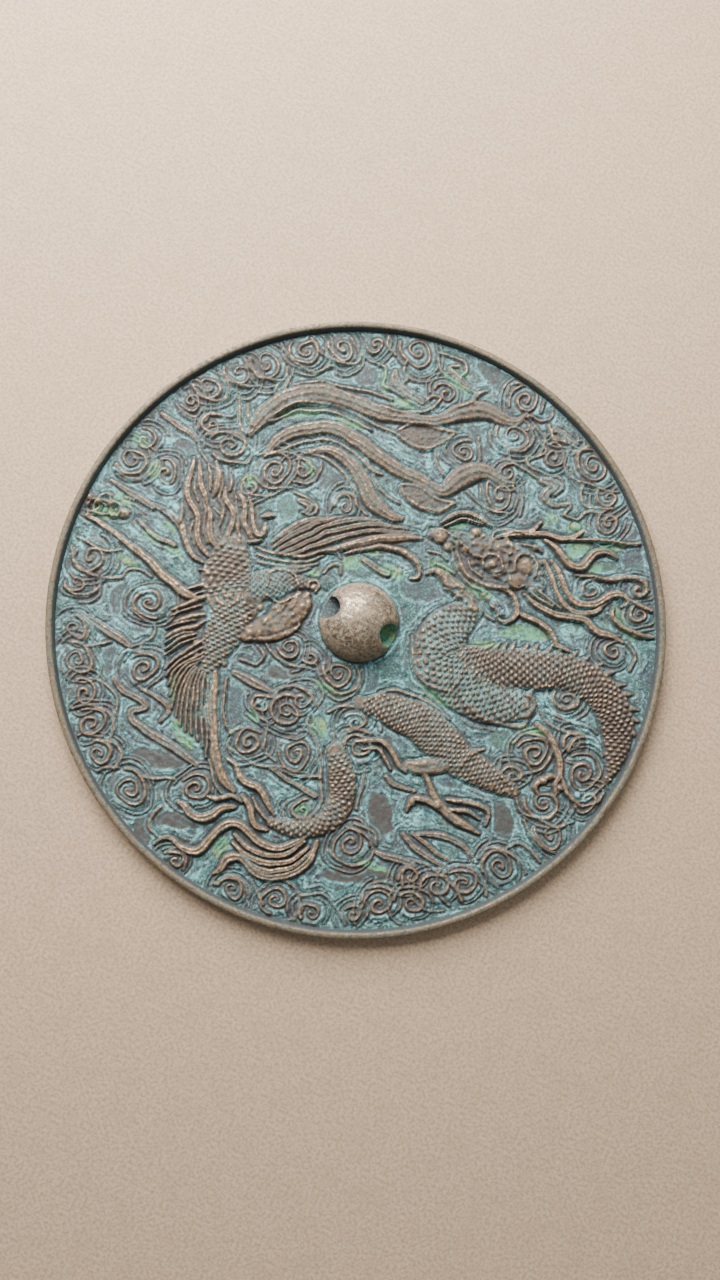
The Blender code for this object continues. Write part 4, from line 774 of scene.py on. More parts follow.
        [(-36.8, 38.8, 0.7), (-36.4, 35.6, 1.2), (-36.6, 32.6, 1)],
        [(-32.8, 33, 0.9), (-32.8, 30.4, 1.7), (-31.4, 28.2, 1.8), (-30.6, 26, 1.8), (-31.2, 23.6, 1.8),
         (-32, 21.2, 1.7), (-31.8, 18.6, 0.9)],
        [(-29.4, 32, 0.9), (-28.2, 29.4, 1.8), (-27.8, 27, 1.8), (-28, 24.4, 1.8), (-27.2, 22.4, 1.7),
         (-26.4, 20.6, 1)],
        [(-27, 31, 0.8), (-26, 28, 1.3), (-25.8, 25, 1.4), (-25.3, 22.2, 1.7), (-23.9, 21.2, 1.7),
         (-23, 22.5, 1.6), (-22.8, 24.4, 0.9)],
        [(-23.4, 26, 1), (-21.9, 26.5, 1.6), (-20.6, 26.2, 0.8)], [(-27, 19.6, 0.8), (-25.4, 19.6, 1.3),
                                                                   (-24, 20, 0.8)],
    ],
    "lowerWing": [
        [(-46.4, -11.6, 0.7), (-43.2, -8.2, 1), (-39.4, -5.6, 1), (-36.6, -4, 0.7)],
        [(-46.2, -13.2, 0.7), (-43.2, -9.6, 1), (-39.8, -7.2, 1), (-36.6, -5.8, 0.7)],
        [(-46, -15.4, 0.7), (-43.6, -11.4, 1), (-40, -8.6, 1), (-37, -7.2, 0.7)],
        [(-45.4, -18, 0.7), (-43.8, -13.6, 1), (-40.8, -9.8, 1), (-37.6, -8.4, 0.7)],
        [(-44.8, -20.8, 0.7), (-43.6, -15.8, 1), (-41, -11.2, 1), (-38.2, -9.2, 0.7)],
        [(-43.6, -22.8, 0.7), (-42.8, -17.2, 1), (-41, -12.8, 1), (-38.8, -10, 0.7)],
        [(-42.5, -24.8, 0.7), (-42, -18.6, 1), (-40.6, -13.6, 1), (-39, -11, 0.7)],
        [(-41.2, -26, 0.7), (-41, -20, 1), (-40.2, -14.6, 0.9), (-38.9, -11.4, 0.7)],
        [(-39.9, -27, 0.7), (-39.9, -20.6, 1), (-39.3, -15, 0.9), (-38.3, -11.6, 0.7)],
        [(-38.6, -28.4, 0.7), (-38.7, -21, 1), (-38.4, -15, 0.9), (-37.6, -12, 0.7)],
        [(-37.4, -30, 0.7), (-37.5, -21.4, 0.9), (-37.4, -15, 0.9), (-36.9, -12.4, 0.6)],
        [(-36.4, -32.4, 0.6), (-36.5, -22, 0.8), (-36.3, -14, 0.6)],
        [(-35.6, -33, 0.7), (-34.6, -38, 1.1), (-32.4, -41.2, 0.7)],
        [(-31.8, -13.4, 0.7), (-32.5, -20, 0.9), (-31.8, -24.6, 0.8), (-30.4, -26.8, 0.6)],
    ],
    "shoulder": [
        [(-44.4, 0, 0.8), (-41, 1.1, 1.6), (-37.4, 1.8, 1)], [(-46.4, -3.6, 0.8), (-43, -1.8, 1.6),
                                                              (-39.8, -1.1, 1.5), (-37.2, 0.4, 0.8)],
        [(-45.4, 2.8, 0.8), (-41, 4.6, 1.6), (-37, 5.9, 1.8), (-33, 6.7, 1.6), (-29.6, 7.1, 0.8)],
        [(-46.6, -6.6, 0.8), (-43, -4, 1.4), (-39.4, -2.8, 0.9)], [(-42.6, 8, 0.6), (-39, 8.6, 1),
                                                                   (-36.6, 9.6, 0.7)],
        [(-38.6, 12.6, 0.6), (-36.4, 12.4, 1), (-34.8, 13.4, 0.7)],
        [(-45.6, 1.4, 0.6), (-42, 2.8, 0.9), (-38, 3.8, 0.7)], [(-46.4, -1.6, 0.6), (-43, -0.2, 0.9),
                                                                (-39.6, 0.4, 0.7)],
        [(-46.8, -5, 0.6), (-43.4, -3, 0.9), (-40, -2.2, 0.7)], [(-46.8, -8.4, 0.6), (-43, -5.4, 0.9),
                                                                 (-39.4, -4, 0.7)],
        [(-39.6, 6.6, 0.7), (-35, 8, 1), (-30, 8.2, 1), (-26, 6, 0.7)], [(-38.6, 8.4, 0.7), (-34, 9.8, 1),
                                                                         (-29, 9.6, 0.7)],
    ],
}


def drawPhoenix():
    look = phoenixRelief
    for points, height, pitch, depth, tan in look["body"]:
        drawForm(flowing(points), height, "scales", pitch, depth, tan, look["bodyDark"])
    drawSets(look, "flames")
    for points in look["plumes"]:
        wide = [(x, y, look["plumeSpread"] * width) for x, y, width in points]
        drawForm(flowing(wide), **look["plume"])
    drawSets(look, "lenses", "wing", "longWing", "shoulder", "lowerWing", "legs", "flame")
    x, y, radius = look["disc"]
    rays, rayHeight = look["rays"]
    angle = np.arctan2(gridY - y, gridX - x)
    within = 1 - softStep(np.hypot(gridX - x, gridY - y), radius * 0.9, radius)
    mass[:] = mass + rayHeight * (within * (0.5 + 0.5 * np.cos(rays * angle)))
    drawSets(look, "edges")
    for boss in look["bosses"]:
        drawBoss(*boss)
    drawSets(look, "clawBosses")
    ring = look["clawRing"]
    for x, y, radius in look["clawRings"]:
        drawRidge(spiral(x, y, radius, 40, 1, 1.0, ring["width"], 0.1, eye=0.85), ring["height"], ring["tan"])
    drawSets(look, "beads")


# Ground between the figures: patches as x, y, half sizes, tilt
ground = {
    "bareUnder": 0.25,       # bare colours show where the figures are lower than this
    "bloomUnder": 1.0,
    "crustUnder": 0.8,
    "crustStrength": 0.9,
    "patchy": (3.2, 71),     # size and seed
    # pale crust along the drawn edges: distance out, width, least share
    "crustBands": [(0.66, 0.22, 0.4), (1.85, 0.4, 0.2)],
    "bedBrown": 0.9,
    "bedHeight": 0.3,
    "bedCrustLoss": 0.8,
    # bare cells, with how brown and how green they are
    "plain": [
        (-48, -32.6, 7.6, 2.5, -5, 1, 0), (-43.6, -47.2, 6.6, 2, -8, 1, 0), (-60.2, -8, 2, 4.8, 8, 0.2, 0),
        (-57.6, 5.4, 2.5, 4.6, 0, 0.5, 0), (-30, -20, 3.4, 5.4, 8, 0.1, 0), (-18, -12.2, 5, 1.9, -8, 1, 0),
        (-7, 36, 4.6, 3.6, -40, 0.4, 0), (1.6, 61.8, 3.6, 2.8, 0, 0.3, 0), (15.6, 61, 3.6, 2.3, -15, 0.6, 0),
        (29.6, 44.8, 4.2, 4.8, 0, 0.35, 0), (15, 8.6, 6, 3.6, -10, 0.1, 0), (-0.5, 13.6, 4.4, 3, -20, 0, 0),
        (5, -46.4, 3.4, 6.2, 8, 1, 0), (34.6, -48, 2.6, 5.6, 5, 0.9, 0), (-0.5, -60, 8.6, 2.3, -3, 1, 0),
        (34.6, -28.6, 3.4, 2.5, 0, 0.2, 0.2), (-9.8, -25, 2.2, 3.2, 10, 0, 0.2),
        (-42.6, 43, 3.8, 2, -10, 0.4, 0), (-17.6, 28, 2.6, 3.2, 0, 0, 0.2), (-52, 33, 5, 1.6, -30, 0.3, 0),
        (2.6, -14, 2.4, 3.8, 0, 0.1, 0), (53.4, 32.6, 1.8, 2.8, 0, 0, 0), (41, -2.2, 5.2, 1.8, -12, 0, 0.9),
        (52, -2, 3, 1.7, 0, 0, 0.3), (35.6, 60.4, 2.6, 7.5, 48, 0.5, 0), (68, 15, 2.6, 4.4, 0, 0.3, 0),
        (-52.6, 0.8, 2.6, 3.6, 0, 0.2, 0), (21.4, -54.2, 3.6, 1.5, -35, 0, 0.1),
        (11.2, -29.4, 3, 1.4, -12, 0, 0), (22, -38.4, 3.6, 1.6, -15, 0, 0), (66.4, 22.6, 2.6, 2.8, 0, 0.4, 0),
        (-51, -49.6, 2.4, 3.6, 20, 0.9, 0), (60, -1.6, 1.8, 2.8, 30, 0, 0.3),
        (-36.6, 53.4, 2.2, 1.6, 0, 0, 0), (-26, -23, 1.8, 2.2, 0, 0, 0.1),
        (-41.6, -26, 3.4, 1.3, -35, 0, 0.2), (60.4, 14, 3.4, 1.6, 5, 0, 0.2),
        (31.6, 3.6, 2.4, 3, -30, 0.1, 0.2), (-23.4, -36.6, 2, 1.2, -20, 0, 0),
        (54.6, 18.4, 3.2, 1.7, 10, 0.2, 0.7), (-60.8, -12.6, 1.6, 2.6, 20, 0.1, 0.1),
        (8, -23.4, 0.1, 0.1, 0, 0, 0), (47.6, 52.2, 1.6, 1.4, 0, 0.1, 0), (47.6, -22.6, 1.4, 3.6, 35, 0, 0),
        (-10, 58.8, 0.1, 0.1, 0, 0, 0),
    ],
    # pale green bloom, and pale blue crust, on whatever is under them
    "bloom": [
        (53.6, 23.8, 2.4, 1.5, 10), (47, 25.6, 2.6, 1.4, 20), (-45, 17.4, 2.8, 1, -30),
        (-50.6, 21, 3, 1.1, -30), (-46, 23.2, 2.4, 1, -35), (20, 14, 3.6, 1.3, -20),
        (-13.6, -44.8, 2, 1.3, 10), (64, 1, 1.5, 4.2, 20), (66.4, -3, 1.8, 1, -40), (62.4, 18.9, 3.4, 1, 0),
        (54, 18.4, 3.2, 1.9, 0), (52, 16.4, 1.6, 1.2, -40), (-12, 38.2, 1.2, 2.2, 20),
        (11, 54.6, 3.8, 1.3, -14), (-14, 52, 6, 1.2, 8), (-2, 49.6, 4, 1, -20), (40.4, -2.9, 6.2, 1.4, -4),
        (31, -5.2, 4.8, 0.9, -2), (29.6, 7.6, 3.6, 1.6, -25), (24.4, 24, 2.4, 1, 20),
        (57.4, 13.6, 3.2, 1.5, 0), (-33, -53.4, 2, 2.6, -15), (8, 12.6, 3.4, 1.6, -30),
        (-1.6, 14.6, 2.6, 1.9, 0), (24, 60, 4.4, 0.9, -38), (-7, -16.4, 5, 0.9, -28), (18, -17.6, 5, 1, -38),
        (3.6, 17.2, 3, 0.8, 5), (-28.6, 1.4, 0.9, 1.4, -40), (-57.6, 29.6, 3, 1.4, -35),
        (-61.6, 26.8, 3.2, 2, 0), (-53.6, 44.6, 2.4, 1.4, -20), (-50, 37, 1.8, 2.4, 0),
        (-27, 34.6, 2, 1.6, 0), (6.4, 60.2, 1.2, 3.6, 0), (3, -58, 4, 0.9, -20), (-9.6, -25.4, 1.8, 2.8, 15),
        (-25.4, -22.6, 1, 1.8, 30), (-56, 14.8, 3, 1, -35), (42.4, -26.2, 4, 0.9, -15),
        (-44.6, -16, 0.9, 4, 0), (25.6, 62.6, 3, 0.8, -20), (-42, -27, 1.8, 4, 40), (-11, 12, 1.4, 0.8, 0),
    ],
    "crust": [
        (-18.6, 8.8, 3, 3, 0), (-58.6, 37, 1.8, 1, 0), (-44.6, 27.4, 2.2, 2.6, 0), (-47, 44.8, 2.2, 1.2, 0),
        (-19, 27.6, 2.4, 3.4, 0), (17.4, 40.4, 1.2, 3.2, 0), (45.6, -20, 2, 4, 30),
        (52.6, -24.4, 4, 0.9, -30), (37.6, -17.6, 2.2, 1.6, 0), (22, -38.4, 4.4, 2.2, -15),
        (13.6, -46, 2.2, 2, 0), (26.4, -43.2, 2.4, 1, 0), (-44, -24.4, 3.4, 1.3, -40),
        (-38.8, -28.6, 2.6, 1, -45), (10.6, -29.8, 2.6, 1.6, 0), (3.4, -32, 2.2, 1.4, 20),
        (-12.4, -20, 1.6, 1.6, 0), (-23, -19.6, 1.6, 1.4, 0), (-28, -58.6, 2.4, 1.2, -20),
        (-14, -61.6, 2.4, 1.6, -30), (11.6, -36.4, 3.6, 1.2, -35), (-12.4, -38.2, 3.4, 0.9, -15),
        (57, -29.4, 2.6, 1.4, -40), (54.4, -41.8, 2.6, 1.6, 0), (-66.6, 20, 0.9, 5, -18),
        (-52, 7.6, 3, 1, -25), (-41.6, 21, 0.7, 5, 0), (-35, 25, 0.6, 5, 0), (-36.4, 2, 1.8, 3.4, 0),
        (-30, 6, 2.4, 1.6, 0), (55.4, 9, 3, 2, 10), (48, 3.4, 3, 1, -15), (52, -1.6, 3, 1.8, 0),
        (-1.6, -23.4, 3, 1.6, 0), (4, -24.6, 1.6, 2.4, 20), (-26.6, 42.6, 2.4, 1, -20),
        (-55.6, -8.8, 1.8, 2.4, 0), (44, -47, 2.4, 0.8, -15), (-60.6, 44, 1, 4, -45),
        (36.4, 44.6, 3.6, 2.6, 0), (-5, 30, 1.8, 1.4, 0), (33.4, 7, 2.8, 1.6, -30), (27.6, 19, 2, 1.4, 0),
        (44.4, 19.6, 2.6, 0.8, -20), (-48, 33.4, 4, 1.2, -30),
    ],
    # figures whose hollows hold crust
    "crustBeds": [
        (21, -6, 7, 10, 0), (31, -17, 9, 6, -25), (25, 9, 6, 5, -40), (33, 10, 7, 4, -30), (46, 8, 6, 6, 0),
        (-22, 8.6, 5, 4, 0), (10, -22, 6, 3, -20),
    ],
    # brown beds that lie between close-set feathers and locks
    "darkBeds": [
        (-36.5, 27, 7.6, 11, 0), (-28, 25.6, 4.6, 6.4, 0), (-41, -14, 4.6, 11.5, -14),
        (-12, 20.6, 9.6, 4.2, 22), (3, 21.4, 11, 3.4, -4), (-41, 0.6, 4.6, 6.8, 10), (33, 13.6, 10, 7.4, -30),
        (-24, -1.4, 6.4, 3.4, 10), (-16, 3.4, 3.6, 4.4, 0),
    ],
}


def groundMasks():
    for *patch, howBrown, howGreen in ground["plain"]:
        share = blobShare(*patch)
        np.maximum(plain, share, out=plain)
        free = share * (mass < ground["bareUnder"])
        np.maximum(brown, howBrown * free, out=brown)
        np.maximum(bloom, howGreen * free, out=bloom)
    for patch in ground["bloom"]:
        np.maximum(bloom, blobShare(*patch) * (ridge + mass < ground["bloomUnder"]), out=bloom)
    for patch in ground["crust"]:
        share = ground["crustStrength"] * blobShare(*patch)
        np.maximum(crust, share * (ridge + mass < ground["crustUnder"]), out=crust)
    # pale crust gathers a little way off each edge, and thins out from there
    patchy = softStep(driftNoise(gridX, gridY, *ground["patchy"]), -0.5, 0.4)
    for away, width, least in ground["crustBands"]:
        band = bell(gap, away, width) * (least + (1 - least) * patchy)
        np.maximum(crust, band * (bloom < 0.5), out=crust)
    for patch in ground["darkBeds"]:
        share = blobShare(*patch)
        crust[:] = crust * (1 - ground["bedCrustLoss"] * share)
        np.maximum(brown, share * ground["bedBrown"], out=brown)
        np.maximum(mass, ground["bedHeight"] * share, out=mass)


echoLines = {
    "first": 1.15,           # distance of the first echo from a drawn edge
    "spacing": 1.15,
    "furthest": 1.5,         # as a count of spacings
    "width": 0.34,
    "height": 0.26,
    "tan": 0.45,             # of the first echo
    "crust": 0.6,            # on the others
    "warp": [(0.35, 2.3, 21), (0.2, 1.1, 22)],          # strength, size and seed
    "broken": (2.6, 23),
}

castSurface = {
    "bumps": [(0.08, 2.0, 31), (0.1, 0.9, 32), (0.09, 0.5, 33)],
    "bareSmoothness": 0.5,
    "crease": (0.12, 0.22, 0.2),        # along each drawn edge: distance out, width, depth
    "ring": (0.55, 0.25, 0.16),         # round the knob's foot: distance out, width, height
    "knobFade": (0.2, 1.4),             # the relief rises between these distances from the knob
}


def finishedHeight():
    # echo lines follow the drawn edges through whatever ground is left over
    warp = drifting(0, gridX, gridY, echoLines["warp"])
    rings = (gap + warp - echoLines["first"]) / echoLines["spacing"]
    offset = (rings - np.round(rings)) * echoLines["spacing"]
    echo = np.clip(1 - (offset / echoLines["width"]) ** 2, 0, 1)
    echo = echo * (rings > -0.4) * (rings < echoLines["furthest"])
    broken = softStep(driftNoise(gridX, gridY, *echoLines["broken"]), -0.55, 0.1)
    echo = echo * broken * (1 - plain)
    np.maximum(bronze, echoLines["tan"] * (echo * (rings < 0.6)), out=bronze)
    np.maximum(crust, echoLines["crust"] * echo * (rings > 0.6), out=crust)
    away, width, depth = castSurface["crease"]
    crease = bell(gap, away, width) * depth
    drawn = mass + ridge
    total = drawn + echo * echoLines["height"] - crease
    bumps = drifting(0, gridX, gridY, castSurface["bumps"])
    total = total + bumps * (1 - castSurface["bareSmoothness"] * plain)
    radius = np.hypot(gridX, gridY)
    fade = 1 - softStep(radius, reliefGrid["fadeFrom"], reliefGrid["fadeTo"])
    nearKnob = softStep(radius, *[knobShape["radius"] + away for away in castSurface["knobFade"]])
    away, width, height = castSurface["ring"]
    ring = bell(radius, knobShape["radius"] + away, width)
    np.maximum(crust, ring, out=crust)
    return total * fade * nearKnob + height * ring, drawn * fade * nearKnob


weather = {
    "crest": (0.45, 0.22),              # width it stands out from, height at which it is bare
    "crevice": (0.4, 0.16),             # the same for hollows, which get painted shade
    "footShade": (0.15, 0.2, 0.85),      # painted shade along each drawn edge: distance, width, strength
    "filled": (6.5, 72),                # size and seed of the places whose hollows hold crust
    "hollowDepth": 0.14,
    "hollowCrust": 0.85,
    "shoreWidth": 0.5,                  # of the pale crust round a bare cell
    "shoreCrust": 0.95,
    "bareDirt": 0.42,
}


def weatherMasks(reliefHeight, drawnHeight):
    # crests are rubbed bare, their highest parts take a painted highlight, and creases get painted shade
    width, rise = weather["crest"]
    around = blurred(drawnHeight, width)
    crest = np.clip((drawnHeight - around) / rise, 0, 1)
    width, depth = weather["crevice"]
    crevice = np.clip((blurred(reliefHeight, width) - reliefHeight) / depth - 0.1, 0, 1)
    away, width, strength = weather["footShade"]
    crevice = np.maximum(crevice, strength * bell(gap, away, width))
    # in places the hollows of the figures are filled with pale crust instead of painted shade
    filled = softStep(driftNoise(gridX, gridY, *weather["filled"]), -0.25, 0.35)
    for patch in ground["crustBeds"]:
        filled = np.maximum(filled, blobShare(*patch))
    hollow = np.clip((around - drawnHeight) / weather["hollowDepth"], 0, 1) * filled
    hollow = hollow * (1 - 0.75 * brown) * (gap < 0.1)
    np.maximum(crust, weather["hollowCrust"] * hollow, out=crust)
    crevice = crevice * (1 - 0.75 * hollow)
    # plain cells are darker, with pale crust round them
    bare = plain * (drawnHeight < 0.15) * (bloom < 0.3)
    shore = np.clip(3.2 * blurred(plain, weather["shoreWidth"]) * (1 - plain) - 0.25, 0, 1)
    np.maximum(crust, weather["shoreCrust"] * (shore * (drawnHeight < 0.3)), out=crust)
    crust[:] = crust * (1 - 0.75 * bare * (gap > 1.1))
    crevice = np.maximum(crevice, weather["bareDirt"] * bare)
    return dict(crest=crest, crevice=crevice, bronze=bronze, brown=brown, bloom=bloom, crust=crust)


def turnedPoint(x, y, z):
    # from the drawing in millimetres to the mirror's own frame in metres
    c, s = cos(drawingTurn), sin(drawingTurn)
    return (x * c - y * s) * mm, (x * s + y * c) * mm, z * mm


def linked(name, data):
    thing = bpy.data.objects.new(name, data)
    bpy.context.scene.collection.objects.link(thing)
    return thing


def objectFrom(bm, name):
    mesh = bpy.data.meshes.new(name)
    bm.to_mesh(mesh)
    bm.free()
    return linked(name, mesh)


def readPoints(mesh):
    points = np.empty(len(mesh.vertices) * 3)
    mesh.vertices.foreach_get("co", points)
    return points.reshape(-1, 3)


def writePoints(mesh, points):
    mesh.vertices.foreach_set("co", points.ravel())
    mesh.update()


def addMasks(mesh, **masks):
    # what the bronze material reads at each vertex
    for name, values in masks.items():
        layer = mesh.attributes.new(name, "FLOAT", "POINT")
        layer.data.foreach_set("value", np.ascontiguousarray(values, dtype=np.float32))


def gridSample(layer, x, y):
    middle = (count - 1) / 2
    col, row = (np.clip(np.round(along / cell + middle).astype(int), 0, count - 1) for along in (x, y))
    return layer[row, col]


def turnedPiece(name, profile, steps):
    # spins a profile of x, z points round the mirror's axis
    bm = bmesh.new()
    points = [bm.verts.new((x * mm, 0, z * mm)) for x, z in profile]
    chain = [bm.edges.new(pair) for pair in zip(points, points[1:])]
    bmesh.ops.spin(bm, geom=points + chain, cent=(0, 0, 0), axis=(0, 0, 1), angle=2 * pi,
                   steps=steps, use_merge=True)
    bmesh.ops.remove_doubles(bm, verts=bm.verts, dist=0.000002)
    bmesh.ops.recalc_face_normals(bm, faces=bm.faces)
    return objectFrom(bm, name)


# Outlines that split the casting's relief into pieces along its figures
reliefRegions = {
    "dragon_relief": [(11, 24), (16, 27.6), (33, 27.4), (45, 26.6), (57, 26), (74, 21), (76, -20), (64, -40),
                      (55, -46), (36, -52), (9, -52), (6, -37.6), (-2, -52), (-9, -64), (-36, -62),
                      (-51, -55), (-45, -41), (-31, -32), (-10, -44.6), (-11, -30), (-3, -18), (12, -17.4),
                      (11, 2), (16, 12)],
    "phoenix_relief": [(-68, 33), (-57, 24), (-44, 27), (-44, 41), (-31, 41), (-31, 57), (-17, 61.4),
                       (8, 57.4), (33, 60), (44, 53), (42, 48), (28, 48), (40, 38), (40, 33), (24, 27.4),
                       (16, 27.6), (11, 24), (16, 12), (11, 2), (-12, -3), (-28, -6), (-31, -32), (-45, -41),
                       (-38, -32), (-48, -13), (-49, 4), (-60, 19), (-70, 26)],
}


def insideOutline(outline, x, y):
    inside = np.zeros(x.shape, bool)
    for (x0, y0), (x1, y1) in zip(outline, outline[1:] + outline[:1]):
        crossing = (y0 > y) != (y1 > y)
        reach = (x1 - x0) * (y - y0) / (y1 - y0 + 1e-12) + x0
        inside ^= crossing & (x < reach)
    return inside


def regionMap():
    # which piece each cell of the relief belongs to: 1 dragon, 2 phoenix, 3 and 4 the clouds, 0 none
    x = gridX[:-1, :-1] + cell / 2
    y = gridY[:-1, :-1] + cell / 2
    regions = np.where(y > 0, 3, 4)
    regions[insideOutline(reliefRegions["phoenix_relief"], x, y)] = 2
    regions[insideOutline(reliefRegions["dragon_relief"], x, y)] = 1
    radius = np.hypot(x, y)
    regions[radius > reliefGrid["edge"]] = 0
    regions[radius < knobShape["radius"] - 1.0] = 0
    # cells of a piece that only touch at a corner get a third cell beside them
    for turn in range(6):
        for number in range(5):
            for view in (regions, regions[:, ::-1]):
                same = view == number
                pinched = same[:-1, :-1] & same[1:, 1:] & ~same[:-1, 1:] & ~same[1:, :-1]
                view[:-1, 1:][pinched] = number
    return regions


def reliefPiece(name, number, regions, reliefHeight, masks):
    # a slab of the relief: a grid trimmed to its region, with walls and a floor
    rows, cols = np.nonzero(regions == number)
    wide, tall = cols.max() + 1 - cols.min(), rows.max() + 1 - rows.min()
    middle = Vector((axisValues[cols.min()] + wide * cell / 2, axisValues[rows.min()] + tall * cell / 2, 0))
    bm = bmesh.new()
    bmesh.ops.create_grid(bm, x_segments=int(wide), y_segments=int(tall), size=0.5)
    bmesh.ops.scale(bm, vec=(wide * cell, tall * cell, 1), verts=bm.verts)
    bmesh.ops.translate(bm, vec=middle, verts=bm.verts)
    trial = bpy.data.meshes.new("trial")
    bm.to_mesh(trial)
    centres = np.empty(len(trial.polygons) * 3)
    trial.polygons.foreach_get("center", centres)
    bpy.data.meshes.remove(trial)
    faceCols, faceRows = np.floor((centres.reshape(-1, 3)[:, :2].T - axisValues[0]) / cell).astype(int)
    outside = np.nonzero(regions[faceRows, faceCols] != number)[0]
    bm.faces.ensure_lookup_table()
    bmesh.ops.delete(bm, geom=[bm.faces[i] for i in outside], context="FACES")
    border = [edge for edge in bm.edges if edge.is_boundary]
    dropped = bmesh.ops.extrude_edge_only(bm, edges=border)["geom"]
    for item in dropped:
        if isinstance(item, bmesh.types.BMVert):
            item.co.z = -1
    bmesh.ops.holes_fill(bm, edges=[edge for edge in bm.edges if edge.is_boundary], sides=0)
    bmesh.ops.recalc_face_normals(bm, faces=bm.faces)
    for edge in border:
        edge.smooth = False
    piece = objectFrom(bm, name)
    points = readPoints(piece.data)
    onFloor = points[:, 2] < -0.5
    x, y = points[:, 0], points[:, 1]
    height = mirror["fieldHeight"] + gridSample(reliefHeight, x, y)
    addMasks(piece.data, **{mask: gridSample(layer, x, y) for mask, layer in masks.items()})
    z = np.where(onFloor, reliefGrid["bottom"], height)
    writePoints(piece.data, np.column_stack(turnedPoint(x, y, z)))
    piece.data.shade_smooth()
    sharpBorder(piece.data, onFloor)
    return piece


def sharpBorder(mesh, onFloor):
    # walls and floor meet the modelled surface at sharp edges
    ends = np.empty(len(mesh.edges) * 2, int)
    mesh.edges.foreach_get("vertices", ends)
    ends = ends.reshape(-1, 2)
    wall = onFloor[ends[:, 0]] != onFloor[ends[:, 1]]
    floorEdge = onFloor[ends[:, 0]] & onFloor[ends[:, 1]]
    top = np.zeros(len(mesh.vertices), bool)
    top[ends[wall].ravel()] = True
    borderEdge = top[ends[:, 0]] & top[ends[:, 1]] & ~wall
    layer = mesh.attributes.get("sharp_edge") or mesh.attributes.new("sharp_edge", "BOOLEAN", "EDGE")
    layer.data.foreach_set("value", wall | floorEdge | borderEdge)


mirrorLow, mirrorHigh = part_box("bronze_mirror")
mirror = {
    "radius": (mirrorHigh.x - mirrorLow.x) / 2 / mm,
    "fieldHeight": 2.4,
    "rimTop": 4.4,
    "rimWidth": 2.0,
    "wallSlope": 0.45,
    "crown": 0.62,           # height of the rim's rounded top
    "chamfer": 0.4,
    "steps": 720,
    "underField": 0.5,       # how far the plate's core lies under the relief
    "dents": [(0.5, 5.0, 41), (0.35, 1.6, 42), (0.2, 0.7, 43)],       # strength, size and seed
    "dentDepth": 0.09,
    "sharpAngle": 38,
}


def rimProfile():
    # half a section of the plate, from the middle of its core out over the rim to the middle of the face
    r, top, field, chamfer = (mirror[key] for key in ("radius", "rimTop", "fieldHeight", "chamfer"))
    foot = r - mirror["rimWidth"]
    core = field - mirror["underField"]
    shoulder = top - mirror["crown"]
    wallTop = foot + mirror["wallSlope"]
    crown = 0.5 * (wallTop + r)
    profile = [(x, core) for x in (0, 24, 48, foot - 0.4)]
    profile += [(foot - 0.1, field - 0.15), (foot + 0.05, field + 0.05)]
    for share in (0.25, 0.5, 0.75):
        profile.append((foot + (wallTop - foot) * share, field + (top - 0.35 - field) * share))
    for step in range(13):
        angle = pi * (1 - step / 12)
        profile.append((crown + (r - crown) * cos(angle), shoulder + mirror["crown"] * sin(angle) ** 0.7))
    for share in (0.25, 0.5, 0.75):
        profile.append((r, shoulder * (1 - share) + chamfer * share))
    profile += [(r, chamfer), (r - 0.12, 0.12), (r - chamfer, 0)]
    return profile + [(x, 0) for x in (60, 40, 20, 0)]


def discPiece():
    # the plate with its rim and its plain reflecting face
    r, top = mirror["radius"], mirror["rimTop"]
    foot = r - mirror["rimWidth"]
    disc = turnedPiece("mirror_disc", rimProfile(), mirror["steps"])
    points = readPoints(disc.data)
    radius = np.hypot(points[:, 0], points[:, 1]) / mm
    x, y, height = points.T / mm
    # knocks and wear on the rim
    dents = drifting(0, x, y, mirror["dents"])
    onRim = softStep(radius, foot - 0.05, foot + 0.3) * softStep(height, 0.6, 2.6)
    points[:, :2] *= (1 - 0.0011 * onRim * (1 + dents) * 0.5)[:, None]
    points[:, 2] -= mirror["dentDepth"] * mm * onRim * (0.9 + dents)
    writePoints(disc.data, points)
    # worn top and outer edge, whose palest part is a painted highlight; painted shade at the foot and lower
    # part of the inner wall
    onTop = softStep(height, top - 0.75, top - 0.1)
    outer = softStep(radius, r - 0.35, r - 0.02)
    wallFootShade = bell(radius, foot + 0.1, 0.35) * (height < top - 0.4) * (height > 1)
    addMasks(disc.data,
             crest=np.clip(0.75 * onTop + 0.9 * outer, 0, 1),
             crevice=np.clip(wallFootShade + 0.55 * softStep(top - 0.4 - height, 0, 0.9) * (radius < r - 1), 0, 1),
             bronze=np.clip(0.95 * onTop + 0.85 * outer, 0, 1),
             brown=np.clip(0.5 * (1 - onTop) * (height > 1), 0, 1),
             bloom=np.zeros(len(radius)),
             crust=np.clip(0.25 * (1 - onTop) * (radius > r - 1), 0, 1))
    disc.data.shade_smooth()
    disc.data.set_sharp_from_angle(angle=radians(mirror["sharpAngle"]))
    return disc


knobShape = {
    "radius": 9.8,
    "height": 7.6,
    "rings": 72,
    "steps": 224,
    "tunnelWidth": 5.6,
    "tunnelHeight": 5.8,
    "footRounding": 1.5,     # of the tunnel's lower corners
    "tunnelFloor": 0.15,
    "archSteps": 28,
    "cornerSteps": 6,
    "slices": (22, 0.45),    # cuts along the tunnel each way, and how far apart
    "lip": 1.3,              # width of the worn lip round each mouth
    "lipDepth": 0.5,
    "sharpAngle": 50,
}


def tunnelSection():
    # half width, corner rounding, floor height and the height where the arch springs
    half = knobShape["tunnelWidth"] / 2
    floor = mirror["fieldHeight"] + knobShape["tunnelFloor"]
    return half, knobShape["footRounding"], floor, floor + knobShape["tunnelHeight"] - half


